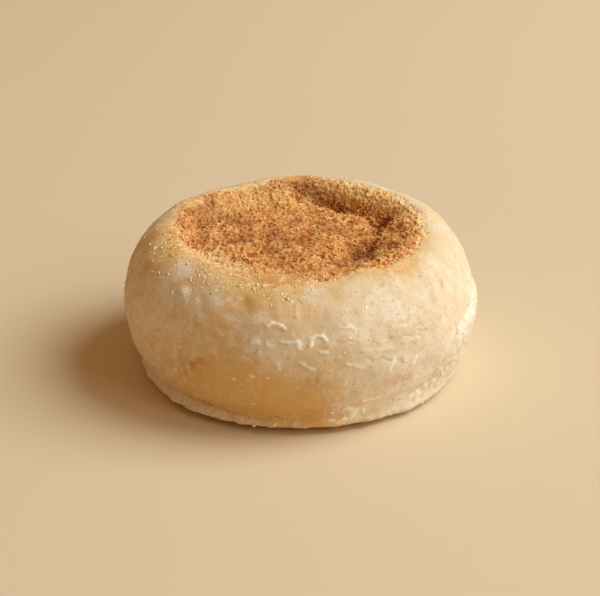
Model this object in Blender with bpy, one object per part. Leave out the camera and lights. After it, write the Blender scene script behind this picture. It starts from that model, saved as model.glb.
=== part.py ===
"""English muffin: one barrel-sided bread with a flat griddled base and a sunken, toasted top.

Metres, +Z up. The muffin stands on its base at z = 0, and the origin is the middle of its
bounding box there. Its front is -Y. Angles go anticlockwise from +X, seen from above.
"""

import math
from collections import namedtuple

import bmesh
import bpy
from mathutils import Vector, noise

# Overall sizes
RADIUS = 0.0442
EQUATOR_HEIGHT = 0.0178
BASE_RADIUS = 0.0382
CREST_HEIGHT = 0.0360
CREST_TILT = 0.0010
CREST_HIGH_SIDE = 70.0

# How square the side is, as superellipse exponents
SHOULDER_SQUARENESS = 1.95
FOOT_SQUARENESS = 1.4

# The crest of the rim and the edge of the sunken floor are ovals round these centres
CREST_CENTRE = (-0.0010, 0.0014)
CREST_HALF = (0.0305, 0.0295)
FLOOR_CENTRE = (-0.0055, 0.0002)
FLOOR_HALF = (0.0215, 0.0222)
FLOOR_HEIGHT = 0.0328
FLOOR_DOME = 0.0005

# Uneven girth: how many lobes, how deep as a share of the radius, and where the first one is
LOBES = ((2, 0.006, 145.0), (3, 0.0052, 195.0), (5, 0.002, 120.0))

# The seam where the dough folded over its lower lip: low at the front, and high on the right
SEAM_LOW = 0.0048
SEAM_DRIFT = 0.0025
SEAM_DRIFT_SPREAD = 70.0
SEAM_STEP = 0.0110
SEAM_STEP_STARTS = 46.0
SEAM_STEP_STARTS_BACK = 100.0
SEAM_STEP_ENDS = 28.0
SEAM_CLIMB = 0.0040
SEAM_CLIMB_SPREAD = 30.0
SEAM_DEPTH = 0.0013
SEAM_HALF_WIDTH = 0.0013
SEAM_FAINT_SIDE = 280.0
SEAM_FAINT_SPREAD = 20.0
SEAM_FAINT_SHARE = 0.85
LIP_PROUD = 0.0011
LIP_PROUD_SPREAD = 55.0
LIP_PROUD_REACH = 0.009
ROLL_HEIGHT = 0.0005

# Swells and flats of the skin: the side each one faces, its height up the muffin, how far it
# reaches both ways, and how far it stands out
Swell = namedtuple("Swell", "name side spread level reach out")
SWELLS = (
    Swell("heel at the front left", 236.0, 22.0, 0.003, 0.006, 0.0006),
    Swell("slack heel at the front", 272.0, 14.0, 0.002, 0.005, -0.0003),
    Swell("flat heel at the front right", 298.0, 12.0, 0.003, 0.006, -0.0006),
    Swell("pinch at the left end of the seam", 205.0, 6.0, 0.007, 0.003, -0.0004),
    Swell("dip of the rim at the back left", 120.0, 12.0, 0.036, 0.006, -0.0004),
    Swell("peak of the rim at the back", 92.0, 8.0, 0.036, 0.005, 0.0004),
    Swell("peak of the rim at the back right", 63.0, 6.0, 0.036, 0.005, 0.0004),
    Swell("dip of the rim at the right", 46.0, 8.0, 0.036, 0.006, -0.0005),
)

SWELLS_START_RADIUS = 0.018
SWELLS_FULL_RADIUS = 0.028

# Folds, pits and swells of the top, as soft oval bumps: a hollow has a negative height
Fold = namedtuple("Fold", "name x y half_length half_width heading height")
FOLDS = (
    Fold("crevice behind the floor", 0.0092, 0.0214, 0.0085, 0.0021, 148.0, -0.0028),
    Fold("pit at the right", 0.0208, 0.0098, 0.0042, 0.0032, 165.0, -0.0034),
    Fold("tongue from the right rim", 0.0240, 0.0030, 0.0070, 0.0027, 20.0, 0.0009),
    Fold("hollow at the front right", 0.0155, -0.0065, 0.0050, 0.0026, 54.0, -0.0021),
    Fold("end of the front hollow", 0.0109, -0.0160, 0.0028, 0.0018, 55.0, -0.0010),
    Fold("dip at the left", -0.0243, 0.0078, 0.0050, 0.0028, 60.0, -0.0009),
    Fold("notch in the back rim", -0.0004, 0.0270, 0.0055, 0.0016, 95.0, -0.0016),
    Fold("swell of the floor", -0.0070, -0.0020, 0.0120, 0.0090, 10.0, 0.0004),
)
FOLDS_START_HEIGHT = 0.025
FOLDS_FULL_HEIGHT = 0.032

# Soft unevenness all over the skin
LUMP_SIZE = 0.014
LUMP_HEIGHT = 0.0005
LUMP_FADE_HEIGHT = 0.004

# Mesh: segments round the muffin, and rings in each stretch of its skin
SEGMENTS = 104
BASE_RINGS = 3
LIP_RINGS = 5
SEAM_RINGS = 5
SIDE_RINGS = 13
TOP_RINGS = 20
PROFILE_STEPS = 60

CRUST_COLOUR = (0.74, 0.52, 0.27, 1.0)
CRUST_ROUGHNESS = 0.8


def clear_scene():
    """Removes every object that is in the scene."""
    for found in list(bpy.data.objects):
        bpy.data.objects.remove(found)


def smooth(share):
    """Eases a share from 0 to 1."""
    share = min(1.0, max(0.0, share))
    return share * share * (3.0 - 2.0 * share)


def hill(distance, reach):
    """A soft hill, 1 at its middle and near 0 past twice its reach."""
    return math.exp(-((distance / reach) ** 2))


def turn_between(angle, side):
    """The turn in degrees from side to angle, from -180 to 180."""
    return (angle - side + 180.0) % 360.0 - 180.0


def oval_reach(angle, centre, half):
    """How far an oval's edge is from the Z axis along an angle in degrees."""
    across, along = math.cos(math.radians(angle)), math.sin(math.radians(angle))
    square = (across / half[0]) ** 2 + (along / half[1]) ** 2
    lean = across * centre[0] / half[0] ** 2 + along * centre[1] / half[1] ** 2
    rest = (centre[0] / half[0]) ** 2 + (centre[1] / half[1]) ** 2 - 1.0
    return (lean + math.sqrt(lean * lean - square * rest)) / square


def girth(angle):
    """The radius at the equator, with its lobes."""
    waves = sum(
        depth * math.cos(math.radians(count * (angle - first)))
        for count, depth, first in LOBES
    )
    return RADIUS * (1.0 + waves)


def crest_height(angle):
    """The height of the rim, which is highest at the back right."""
    return CREST_HEIGHT + CREST_TILT * math.cos(math.radians(angle - CREST_HIGH_SIDE))


def seam_height(angle):
    """The height of the seam, which climbs on the right: steeply in front, gently behind."""
    turn = turn_between(angle, 0.0)
    starts = SEAM_STEP_STARTS if turn < 0.0 else SEAM_STEP_STARTS_BACK
    drift = SEAM_DRIFT * hill(turn, SEAM_DRIFT_SPREAD)
    step = (starts - abs(turn)) / (starts - SEAM_STEP_ENDS)
    climb = SEAM_CLIMB * hill(turn, SEAM_CLIMB_SPREAD)
    return SEAM_LOW + drift + SEAM_STEP * smooth(step) + climb


def seam_strength(angle):
    """How sharp the seam is, from 0 to 1: it nearly closes at the front."""
    return 1.0 - SEAM_FAINT_SHARE * hill(
        turn_between(angle, SEAM_FAINT_SIDE), SEAM_FAINT_SPREAD
    )


def side_profile(angle):
    """The side's smooth outline as (radius, height) points, from the base's edge to the crest."""
    belly, crest = girth(angle), oval_reach(angle, CREST_CENTRE, CREST_HALF)
    top = crest_height(angle)
    points = []
    for step in range(PROFILE_STEPS):
        lean = math.radians(90.0 * (1.0 - step / PROFILE_STEPS))
        power = 2.0 / FOOT_SQUARENESS
        radius = BASE_RADIUS + (belly - BASE_RADIUS) * math.cos(lean) ** power
        points.append((radius, EQUATOR_HEIGHT * (1.0 - math.sin(lean) ** power)))
    for step in range(PROFILE_STEPS + 1):
        lean = math.radians(90.0 * step / PROFILE_STEPS)
        power = 2.0 / SHOULDER_SQUARENESS
        radius = crest + (belly - crest) * max(0.0, math.cos(lean)) ** power
        rise = math.sin(lean) ** power
        points.append((radius, EQUATOR_HEIGHT + (top - EQUATOR_HEIGHT) * rise))
    return points


def lengths_along(points):
    """The distance from the first point to each point."""
    found = [0.0]
    for before, after in zip(points, points[1:]):
        found.append(found[-1] + math.dist(before, after))
    return found


def at_length(points, lengths, length):
    """The point at a length along the outline, and the outward normal there."""
    last = len(points) - 2
    index = next((i for i, end in enumerate(lengths[1:]) if end >= length), last)
    before, after = points[index], points[index + 1]
    share = (length - lengths[index]) / max(lengths[index + 1] - lengths[index], 1e-9)
    radius = before[0] + (after[0] - before[0]) * share
    height = before[1] + (after[1] - before[1]) * share
    run, rise = after[0] - before[0], after[1] - before[1]
    size = math.hypot(run, rise)
    return radius, height, rise / size, -run / size


def seam_length(points, lengths, angle):
    """How far along the outline the seam is."""
    height = seam_height(angle)
    index = next(i for i, point in enumerate(points) if point[1] >= height)
    low, high = points[index - 1][1], points[index][1]
    share = (height - low) / (high - low)
    return lengths[index - 1] + (lengths[index] - lengths[index - 1]) * share


def seam_offset(distance, angle):
    """How far the skin stands out at a distance above the seam: a groove between two soft rolls."""
    strength = seam_strength(angle)
    groove = -SEAM_DEPTH * hill(distance, SEAM_HALF_WIDTH)
    roll = ROLL_HEIGHT * hill(distance - 2.5 * SEAM_HALF_WIDTH, 2.0 * SEAM_HALF_WIDTH)
    proud = LIP_PROUD * hill(turn_between(angle, 0.0), LIP_PROUD_SPREAD)
    drawn_in = -proud * hill(max(distance, 0.0), LIP_PROUD_REACH)
    share = smooth(0.5 + distance / (2.0 * SEAM_HALF_WIDTH))
    return strength * (groove + roll) + drawn_in * share


def side_lengths(whole, seam):
    """The lengths along the side at which its rings lie, closest together at the seam."""
    low, high = seam - 2.0 * SEAM_HALF_WIDTH, seam + 2.0 * SEAM_HALF_WIDTH
    lip = [low * ring / LIP_RINGS for ring in range(LIP_RINGS)]
    middle = [low + (high - low) * ring / SEAM_RINGS for ring in range(SEAM_RINGS)]
    side = [
        high + (whole - high) * ring / SIDE_RINGS for ring in range(SIDE_RINGS + 1)
    ]
    return lip + middle + side


def folds_at(x, y):
    """How far the folds raise or lower the top at a place."""
    height = 0.0
    for fold in FOLDS:
        heading = math.radians(fold.heading)
        east, north = x - fold.x, y - fold.y
        along = east * math.cos(heading) + north * math.sin(heading)
        across = north * math.cos(heading) - east * math.sin(heading)
        reach = math.hypot(along / fold.half_length, across / fold.half_width)
        height += fold.height * hill(reach, 1.0)
    return height


def top_height(angle, radius):
    """The height of the top inside the crest: a floor with a rim round it."""
    crest = oval_reach(angle, CREST_CENTRE, CREST_HALF)
    floor = min(oval_reach(angle, FLOOR_CENTRE, FLOOR_HALF), crest * 0.95)
    wall = smooth((radius - floor) / (crest - floor))
    dome = FLOOR_DOME * (1.0 - min(1.0, radius / floor) ** 2)
    return FLOOR_HEIGHT + dome + (crest_height(angle) - FLOOR_HEIGHT) * wall


def swell_at(angle, radius, height):
    """How far the swells and flats move the skin outward at a place."""
    span = SWELLS_FULL_RADIUS - SWELLS_START_RADIUS
    share = smooth((radius - SWELLS_START_RADIUS) / span)
    return share * sum(
        swell.out
        * hill(turn_between(angle, swell.side), swell.spread)
        * hill(height - swell.level, swell.reach)
        for swell in SWELLS
    )


def lump_at(point):
    """Soft unevenness of the skin, which fades out at the flat base."""
    fade = smooth(point.z / LUMP_FADE_HEIGHT)
    return LUMP_HEIGHT * fade * noise.noise(point / LUMP_SIZE)


def column(angle):
    """One column of the skin as (radius, height) points, from near the base's middle to near the top's."""
    points = side_profile(angle)
    lengths = lengths_along(points)
    seam = seam_length(points, lengths, angle)
    found = [(BASE_RADIUS * ring / BASE_RINGS, 0.0) for ring in range(1, BASE_RINGS)]
    for length in side_lengths(lengths[-1], seam):
        radius, height, out, up = at_length(points, lengths, length)
        offset = seam_offset(length - seam, angle) * smooth(height / SEAM_HALF_WIDTH)
        found.append((radius + out * offset, height + up * offset))
    crest = oval_reach(angle, CREST_CENTRE, CREST_HALF)
    for ring in range(1, TOP_RINGS):
        radius = crest * (1.0 - ring / TOP_RINGS)
        found.append((radius, top_height(angle, radius)))
    return found


def skin_point(angle, radius, height):
    """A point of the skin, with its swells, the top's folds and the lumps."""
    turn = math.radians(angle)
    point = Vector((radius * math.cos(turn), radius * math.sin(turn), height))
    away = Vector((point.x, point.y, max(0.0, height - EQUATOR_HEIGHT))).normalized()
    point += away * swell_at(angle, radius, height)
    share = (height - FOLDS_START_HEIGHT) / (FOLDS_FULL_HEIGHT - FOLDS_START_HEIGHT)
    point.z += folds_at(point.x, point.y) * smooth(share)
    outward = Vector((point.x, point.y, point.z - EQUATOR_HEIGHT)).normalized()
    return point + outward * lump_at(point)


def muffin_mesh():
    """The muffin's closed skin: a ball whose rings are moved to their places in the outline."""
    columns = [column(360.0 * turn / SEGMENTS) for turn in range(SEGMENTS)]
    rings = len(columns[0])
    shape = bmesh.new()
    bmesh.ops.create_uvsphere(
        shape, u_segments=SEGMENTS, v_segments=rings + 1, radius=1.0
    )
    for vertex in shape.verts:
        level = math.degrees(math.acos(max(-1.0, min(1.0, vertex.co.z))))
        ring = rings - round(level * (rings + 1) / 180.0)
        if ring < 0:
            vertex.co = Vector((0.0, 0.0, 0.0))
        elif ring >= rings:
            vertex.co = skin_point(0.0, 0.0, top_height(0.0, 0.0))
        else:
            turn = math.degrees(math.atan2(vertex.co.y, vertex.co.x)) % 360.0
            index = round(turn * SEGMENTS / 360.0) % SEGMENTS
            angle = 360.0 * index / SEGMENTS
            vertex.co = skin_point(angle, *columns[index][ring])
    bmesh.ops.recalc_face_normals(shape, faces=shape.faces)
    mesh = bpy.data.meshes.new("english_muffin")
    shape.to_mesh(mesh)
    shape.free()
    mesh.shade_smooth()
    return mesh


def centre_on_axis(mesh):
    """Moves the mesh so that its bounding box stands over the origin."""
    xs = [vertex.co.x for vertex in mesh.vertices]
    ys = [vertex.co.y for vertex in mesh.vertices]
    middle = Vector(((min(xs) + max(xs)) / 2.0, (min(ys) + max(ys)) / 2.0, 0.0))
    for vertex in mesh.vertices:
        vertex.co -= middle


def crust_material():
    """Pale golden griddled crust."""
    material = bpy.data.materials.new("crust")
    material.use_nodes = True
    shader = material.node_tree.nodes["Principled BSDF"]
    shader.inputs["Base Color"].default_value = CRUST_COLOUR
    shader.inputs["Roughness"].default_value = CRUST_ROUGHNESS
    shader.inputs["Metallic"].default_value = 0.0
    return material


def main():
    """Builds the muffin as one solid."""
    clear_scene()
    mesh = muffin_mesh()
    centre_on_axis(mesh)
    mesh.materials.append(crust_material())
    muffin = bpy.data.objects.new("english_muffin", mesh)
    bpy.context.scene.collection.objects.link(muffin)
    return muffin


if __name__ == "__main__":
    main()
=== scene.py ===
"""English muffin: the looks of a griddled bread with a smooth floured side and a sunken, toasted top.

Metres, +Z up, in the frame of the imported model: the muffin stands on z = 0 round the Z axis, and its
front is -Y. A side is an angle in degrees, anticlockwise from +X as seen from above. The floured skin is
one closed piece and the toasted crust that stands out of it is another. The crumbs, the semolina and the
bran that lie on them are one piece for each kind.
"""

import logging
import math
from dataclasses import dataclass, field
from enum import Enum

import bpy
import numpy as np
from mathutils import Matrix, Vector, noise
from mathutils.bvhtree import BVHTree
from mathutils.kdtree import KDTree


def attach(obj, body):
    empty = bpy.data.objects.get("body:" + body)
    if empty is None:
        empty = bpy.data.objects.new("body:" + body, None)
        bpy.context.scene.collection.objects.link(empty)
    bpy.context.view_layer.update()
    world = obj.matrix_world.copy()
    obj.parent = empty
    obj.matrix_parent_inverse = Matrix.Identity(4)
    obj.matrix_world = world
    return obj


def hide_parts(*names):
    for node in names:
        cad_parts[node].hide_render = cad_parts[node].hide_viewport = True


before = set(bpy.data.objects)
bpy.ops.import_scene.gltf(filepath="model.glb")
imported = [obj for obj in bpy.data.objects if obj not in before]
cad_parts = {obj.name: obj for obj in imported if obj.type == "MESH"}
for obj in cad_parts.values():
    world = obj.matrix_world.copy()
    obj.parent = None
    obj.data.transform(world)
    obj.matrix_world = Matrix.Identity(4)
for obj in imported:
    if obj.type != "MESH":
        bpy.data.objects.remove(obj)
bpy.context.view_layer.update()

MM = 0.001
NODE = "english_muffin"
BODY = "root"
WEIGHT_STEPS = 32
DRAWS_PER_PLACE = 5

Array = np.ndarray
Colour = tuple[float, float, float]
Path = tuple[tuple[float, float], ...]
Socket = bpy.types.NodeSocket

log = logging.getLogger("english_muffin")


class Mark(Enum):
    """What the pieces carry from place to place, as attributes that the finishes read."""

    TOAST = "toast"
    ROUGH = "rough"
    # Golden crumb; on the right back wall it is partly painted light.
    GOLD_AND_LIGHT = "gold"
    # Char of the dark spots; in the hollows it is partly painted shade.
    CHAR_AND_SHADE = "char"
    FLOUR = "flour"
    TAN = "tan"
    SCORCH = "scorch"
    # Painted shade in the creases and along the fold over the lip.
    CREASE = "crease"
    BASE = "base"
    LIP = "lip"
    WISP = "wisp"
    CRUMB = "crumb"
    TINT = "tint"


class Relief(Enum):
    """The kinds of fine relief, by the legacy texture that makes each one."""

    CLOUDS = "CLOUDS"
    CRUMB = "VORONOI"


# ---------------------------------------------------------------- measures


def smooth(share: Array) -> Array:
    """Eases shares from 0 to 1, and holds them there outside that range."""
    share = np.clip(share, 0.0, 1.0)
    return share * share * (3.0 - 2.0 * share)


def past(value: Array, start: Array | float, reach: Array | float) -> Array:
    """A share that leaves 0 where the value passes a start, and is 1 a reach further on."""
    return smooth((value - start) / reach)


def short_of(value: Array, end: Array | float, reach: Array | float) -> Array:
    """A share that is 1 until a reach before an end, and 0 where the value has come to it."""
    return smooth((end - value) / reach)


def hill(distance: Array, reach: float) -> Array:
    """A soft hill: 1 where the distance is 0, and near 0 past twice the reach."""
    return np.exp(-((distance / reach) ** 2))


def turn_between(angle: Array, side: float) -> Array:
    """The turn in degrees from a side to each angle, from -180 to 180."""
    return (angle - side + 180.0) % 360.0 - 180.0


def window(value: Array, opens: tuple[float, float], closes: tuple[float, float]) -> Array:
    """A share that rises over one stretch of values and falls over a later one.

    Args:
        value: The values, such as sides in degrees from 0 to 360.
        opens: Where the share leaves 0 and where it reaches 1.
        closes: Where it leaves 1 and where it is 0 again.

    Returns:
        The share at each value.
    """
    rise = past(value, opens[0], opens[1] - opens[0])
    return rise * short_of(value, closes[1], closes[1] - closes[0])


def noise_at(points: Array, size: float, seed: int) -> Array:
    """Soft noise at each point.

    Args:
        points: The places, one row each.
        size: The size of the noise's patches.
        seed: Which noise of that size to use.

    Returns:
        Values that mostly lie between -0.6 and 0.6.
    """
    shift = Vector((7.3, 3.1, 5.7)) * seed
    return np.array([noise.noise(Vector(place) + shift) for place in (points / size).tolist()])


def fray_at(points: Array, seed: int) -> Array:
    """Noise of two sizes at each point, to fray the edges of marks."""
    return noise_at(points, 4.0 * MM, seed) + 0.6 * noise_at(points, 1.4 * MM, seed + 1)


def wander_at(points: Array, size: float, seeds: tuple[int, int, int]) -> Array:
    """Soft noise along each of the three axes at each point, one row each."""
    return np.stack([noise_at(points, size, seed) for seed in seeds], axis=1)


def near_path(points: Array, path: Array) -> tuple[Array, Array, Array]:
    """Measures points against a path of straight stretches.

    Args:
        points: The places, one row each, in two or three dimensions.
        path: The path's corners in the same dimensions. One corner alone is a spot.

    Returns:
        Each point's distance, its share of the way along the path, and +1 or -1 for the left or the
        right of the path as seen from above.
    """
    if len(path) == 1:
        gap = np.linalg.norm(points - path[0], axis=1)
        return gap, np.full(len(points), 0.5), np.ones(len(points))
    best = np.full(len(points), np.inf)
    along, left = np.zeros(len(points)), np.ones(len(points))
    stretches = np.linalg.norm(np.diff(path, axis=0), axis=1)
    ends = np.concatenate([[0.0], np.cumsum(stretches)])
    for index, (start, end) in enumerate(zip(path, path[1:])):
        run, away = end - start, points - start
        share = np.clip(away @ run / (run @ run), 0.0, 1.0)
        gap = np.linalg.norm(away - share[:, None] * run, axis=1)
        nearer = gap < best
        turn = run[0] * away[:, 1] - run[1] * away[:, 0]
        best = np.where(nearer, gap, best)
        along = np.where(nearer, (ends[index] + share * stretches[index]) / ends[-1], along)
        left = np.where(nearer, np.where(turn >= 0.0, 1.0, -1.0), left)
    return best, along, left


# ---------------------------------------------------------------- modelling by operators


def alone(item: bpy.types.Object) -> bpy.types.Object:
    """Makes an object the active one and the only one selected.

    Args:
        item: The object.

    Returns:
        The same object.
    """
    bpy.ops.object.select_all(action="DESELECT")
    item.select_set(True)
    bpy.context.view_layer.objects.active = item
    return item


def placed(name: str, data: bpy.types.ID) -> bpy.types.Object:
    """Makes an object of a mesh, a lamp or a camera, and puts it in the scene.

    Args:
        name: The object's name.
        data: What the object shows or holds.

    Returns:
        The object.
    """
    item = bpy.data.objects.new(name, data)
    bpy.context.scene.collection.objects.link(item)
    return item


def apply_modifier(item: bpy.types.Object, kind: str, **settings: object) -> None:
    """Adds a modifier to an object, sets it and applies it.

    Args:
        item: The object.
        kind: The modifier's type.
        settings: The modifier's settings by name.
    """
    alone(item)
    bpy.ops.object.modifier_add(type=kind)
    modifier = item.modifiers[-1]
    for name, value in settings.items():
        setattr(modifier, name, value)
    bpy.ops.object.modifier_apply(modifier=modifier.name)


def removed(item: bpy.types.Object) -> None:
    """Removes an object that only helped to make another.

    Args:
        item: The object to remove.
    """
    mesh = item.data
    bpy.data.objects.remove(item)
    bpy.data.meshes.remove(mesh)


def points_of(mesh: bpy.types.Mesh) -> Array:
    """The mesh's vertices, one row each.

    Args:
        mesh: The mesh.

    Returns:
        The place of each vertex.
    """
    found = np.zeros(len(mesh.vertices) * 3)
    mesh.vertices.foreach_get("co", found)
    return found.reshape(-1, 3)


def normals_of(mesh: bpy.types.Mesh) -> Array:
    """The normals at the mesh's vertices, one row each.

    Args:
        mesh: The mesh.

    Returns:
        The normal at each vertex.
    """
    found = np.zeros(len(mesh.vertices) * 3)
    mesh.vertices.foreach_get("normal", found)
    return found.reshape(-1, 3)


def centres_of(mesh: bpy.types.Mesh) -> Array:
    """The middles of the mesh's faces, one row each.

    Args:
        mesh: The mesh.

    Returns:
        The middle of each face.
    """
    found = np.zeros(len(mesh.polygons) * 3)
    mesh.polygons.foreach_get("center", found)
    return found.reshape(-1, 3)


def edit_faces(item: bpy.types.Object, chosen: Array) -> None:
    """Opens an object for editing, with the chosen faces selected.

    Args:
        item: The object.
        chosen: Whether each face is to be selected.
    """
    alone(item)
    bpy.ops.object.mode_set(mode="EDIT")
    bpy.ops.mesh.select_all(action="DESELECT")
    bpy.ops.object.mode_set(mode="OBJECT")
    item.data.polygons.foreach_set("select", chosen)
    bpy.ops.object.mode_set(mode="EDIT")
    bpy.ops.mesh.select_mode(type="FACE")


def move_points(mesh: bpy.types.Mesh, points: Array) -> None:
    """Gives the mesh's vertices new places."""
    mesh.vertices.foreach_set("co", points.astype(np.float32).ravel())
    mesh.update()


def store(mesh: bpy.types.Mesh, mark: Mark, values: Array) -> None:
    """Keeps a mark's value for each vertex as an attribute of the mesh."""
    attribute = mesh.attributes.new(mark.value, "FLOAT", "POINT")
    attribute.data.foreach_set("value", values.astype(np.float32))


def stored(mesh: bpy.types.Mesh, mark: Mark) -> Array:
    """The values that the mesh keeps of a mark for its vertices.

    Args:
        mesh: The mesh.
        mark: The mark to read.

    Returns:
        The value at each vertex.
    """
    found = np.zeros(len(mesh.vertices), np.float32)
    mesh.attributes[mark.value].data.foreach_get("value", found)
    return found.astype(float)


def kept_as_piece(item: bpy.types.Object, material: bpy.types.Material) -> None:
    """Dresses a finished piece, and says which body it rides on and which slot its finish is.

    Args:
        item: The finished piece.
        material: Its finish.
    """
    item.data.materials.clear()
    item.data.materials.append(material)
    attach(item, BODY)
    log.info("%s: %d vertices, %d faces", item.name, len(item.data.vertices), len(item.data.polygons))


# ---------------------------------------------------------------- finishes


class Sheet:
    """A node tree, with a short call for each kind of node that the finishes use."""

    def __init__(self, tree: bpy.types.NodeTree) -> None:
        """Takes the tree to add nodes to."""
        self.tree = tree

    def node(self, kind: str, inputs: dict | None = None, **settings: object) -> bpy.types.Node:
        """Adds a node.

        Args:
            kind: The node's type without its first word, such as "TexNoise".
            inputs: What each input takes, by its name or number: a socket to link, or a plain value.
            settings: The node's own settings by name.

        Returns:
            The node.
        """
        made = self.tree.nodes.new("ShaderNode" + kind)
        for name, value in settings.items():
            setattr(made, name, value)
        for name, value in (inputs or {}).items():
            if isinstance(value, bpy.types.NodeSocket):
                self.tree.links.new(value, made.inputs[name])
            else:
                made.inputs[name].default_value = value
        return made

    def math(self, step: str, first: Socket | float, second: Socket | float) -> Socket:
        """One step of arithmetic on values, kept between 0 and 1."""
        return self.node("Math", {0: first, 1: second}, operation=step, use_clamp=True).outputs[0]

    def times(self, first: Socket | float, second: Socket | float) -> Socket:
        """The product of two values, at most 1."""
        return self.math("MULTIPLY", first, second)

    def plus(self, first: Socket | float, second: Socket | float) -> Socket:
        """The sum of two values, at most 1."""
        return self.math("ADD", first, second)

    def between(self, value: Socket, low: Socket | float, high: Socket | float) -> Socket:
        """Eases a value from 0 at its low end to 1 at its high end."""
        inputs = {"Value": value, "From Min": low, "From Max": high}
        return self.node("MapRange", inputs, interpolation_type="SMOOTHSTEP").outputs["Result"]

    def blend(self, share: Socket | float, under: Socket | Colour, over: Socket | Colour) -> Socket:
        """Lays one colour over another by a share.

        Args:
            share: How far the upper colour covers the lower one.
            under: The lower colour.
            over: The upper colour.

        Returns:
            The blended colour.
        """
        inputs: dict = {"Factor": share}
        for name, value in ((6, under), (7, over)):
            inputs[name] = (*value, 1.0) if isinstance(value, tuple) else value
        return self.node("Mix", inputs, data_type="RGBA").outputs[2]


class SharedGroups:
    """The patterns that several finishes use: mottle, flecks and grit."""

    def __init__(self) -> None:
        """Builds the three groups once."""
        self.mottle = self.make_mottle()
        self.flecks = self.make_flecks()
        self.grit = self.make_grit()

    @staticmethod
    def start(name: str, output: str, sizes: tuple[str, ...]) -> tuple[Sheet, bpy.types.NodeOutputs]:
        """Starts a group that reads a place and some sizes, and puts out one value.

        Args:
            name: The group's name.
            output: The name of its output.
            sizes: The names of its inputs besides the place.

        Returns:
            The group's sheet, and what it is given, by name.
        """
        tree = bpy.data.node_groups.new(name, "ShaderNodeTree")
        tree.interface.new_socket("Place", in_out="INPUT", socket_type="NodeSocketVector")
        for size in sizes:
            tree.interface.new_socket(size, in_out="INPUT", socket_type="NodeSocketFloat")
        tree.interface.new_socket(output, in_out="OUTPUT", socket_type="NodeSocketFloat")
        return Sheet(tree), tree.nodes.new("NodeGroupInput").outputs

    @staticmethod
    def end(sheet: Sheet, value: Socket) -> bpy.types.NodeTree:
        """Links a group's result to its output, and gives the group.

        Args:
            sheet: The group's sheet.
            value: The group's result.

        Returns:
            The group.
        """
        last = sheet.tree.nodes.new("NodeGroupOutput")
        sheet.tree.links.new(value, last.inputs[0])
        return sheet.tree

    def make_mottle(self) -> bpy.types.NodeTree:
        """Soft patches of a size, as a mask between a low and a high threshold, with a bias added first.

        Returns:
            The group.
        """
        sheet, given = self.start("mottle", "Mask", ("Scale", "Detail", "Low", "High", "Shift", "Bias"))
        moved = sheet.node("VectorMath", {0: given["Place"], 1: given["Shift"]})
        inputs = {"Vector": moved.outputs[0], "Scale": given["Scale"], "Detail": given["Detail"]}
        patches = sheet.plus(sheet.node("TexNoise", inputs).outputs[0], given["Bias"])
        return self.end(sheet, sheet.between(patches, given["Low"], given["High"]))

    def make_flecks(self) -> bpy.types.NodeTree:
        """Small round flecks in a share of the cells of a grid, as a mask.

        Returns:
            The group.
        """
        sheet, given = self.start("flecks", "Mask", ("Scale", "Radius", "Share"))
        cells = sheet.node("TexVoronoi", {"Vector": given["Place"], "Scale": given["Scale"]})
        dot = sheet.between(cells.outputs["Distance"], given["Radius"], 0.0)
        lot = sheet.node("SeparateColor", {0: cells.outputs["Color"]}).outputs[0]
        return self.end(sheet, sheet.times(dot, sheet.math("LESS_THAN", lot, given["Share"])))

    def make_grit(self) -> bpy.types.NodeTree:
        """The height of a fine gritty surface, for a Bump node.

        Returns:
            The group.
        """
        sheet, given = self.start("grit", "Height", ("Scale", "Roughness"))
        inputs = {"Vector": given["Place"], "Scale": given["Scale"], "Roughness": given["Roughness"]}
        return self.end(sheet, sheet.node("TexNoise", {**inputs, "Detail": 3.0}).outputs[0])


class Coat(Sheet):
    """The sheet of a material, with the shared patterns laid over the object's own places."""

    def __init__(self, material: bpy.types.Material, groups: SharedGroups) -> None:
        """Takes the material and the shared patterns.

        Args:
            material: The material to coat.
            groups: The shared patterns.
        """
        super().__init__(material.node_tree)
        self.material = material
        self.shader = material.node_tree.nodes["Principled BSDF"]
        self.groups = groups
        self.place = self.node("TexCoord").outputs["Object"]

    def pattern(self, group: bpy.types.NodeTree, **inputs: Socket | float) -> Socket:
        """The value that a shared group gives at each place."""
        return self.node("Group", {"Place": self.place, **inputs}, node_tree=group).outputs[0]

    def mark(self, mark: Mark) -> Socket:
        """The value that a mark has at each place."""
        return self.node("Attribute", attribute_name=mark.value).outputs["Fac"]

    def mottle(self, **inputs: Socket | float) -> Socket:
        """Soft patches, as a mask."""
        return self.pattern(self.groups.mottle, **inputs)

    def flecks(self, **inputs: Socket | float) -> Socket:
        """Small round flecks, as a mask."""
        return self.pattern(self.groups.flecks, **inputs)

    def grit(self, scale: float, roughness: float, strength: float, reach: float) -> None:
        """Gives the surface a fine gritty bump.

        Args:
            scale: How small the grit is.
            roughness: How much of it is finer still.
            strength: How strong the bump is.
            reach: How high the grit is, in metres.
        """
        height = self.pattern(self.groups.grit, Scale=scale, Roughness=roughness)
        made = self.node("Bump", {"Height": height, "Strength": strength, "Distance": reach})
        self.tree.links.new(made.outputs["Normal"], self.shader.inputs["Normal"])

    def coloured(self, colour: Socket) -> bpy.types.Material:
        """Gives the surface its colour, and returns the finished material."""
        self.tree.links.new(colour, self.shader.inputs["Base Color"])
        return self.material


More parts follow.
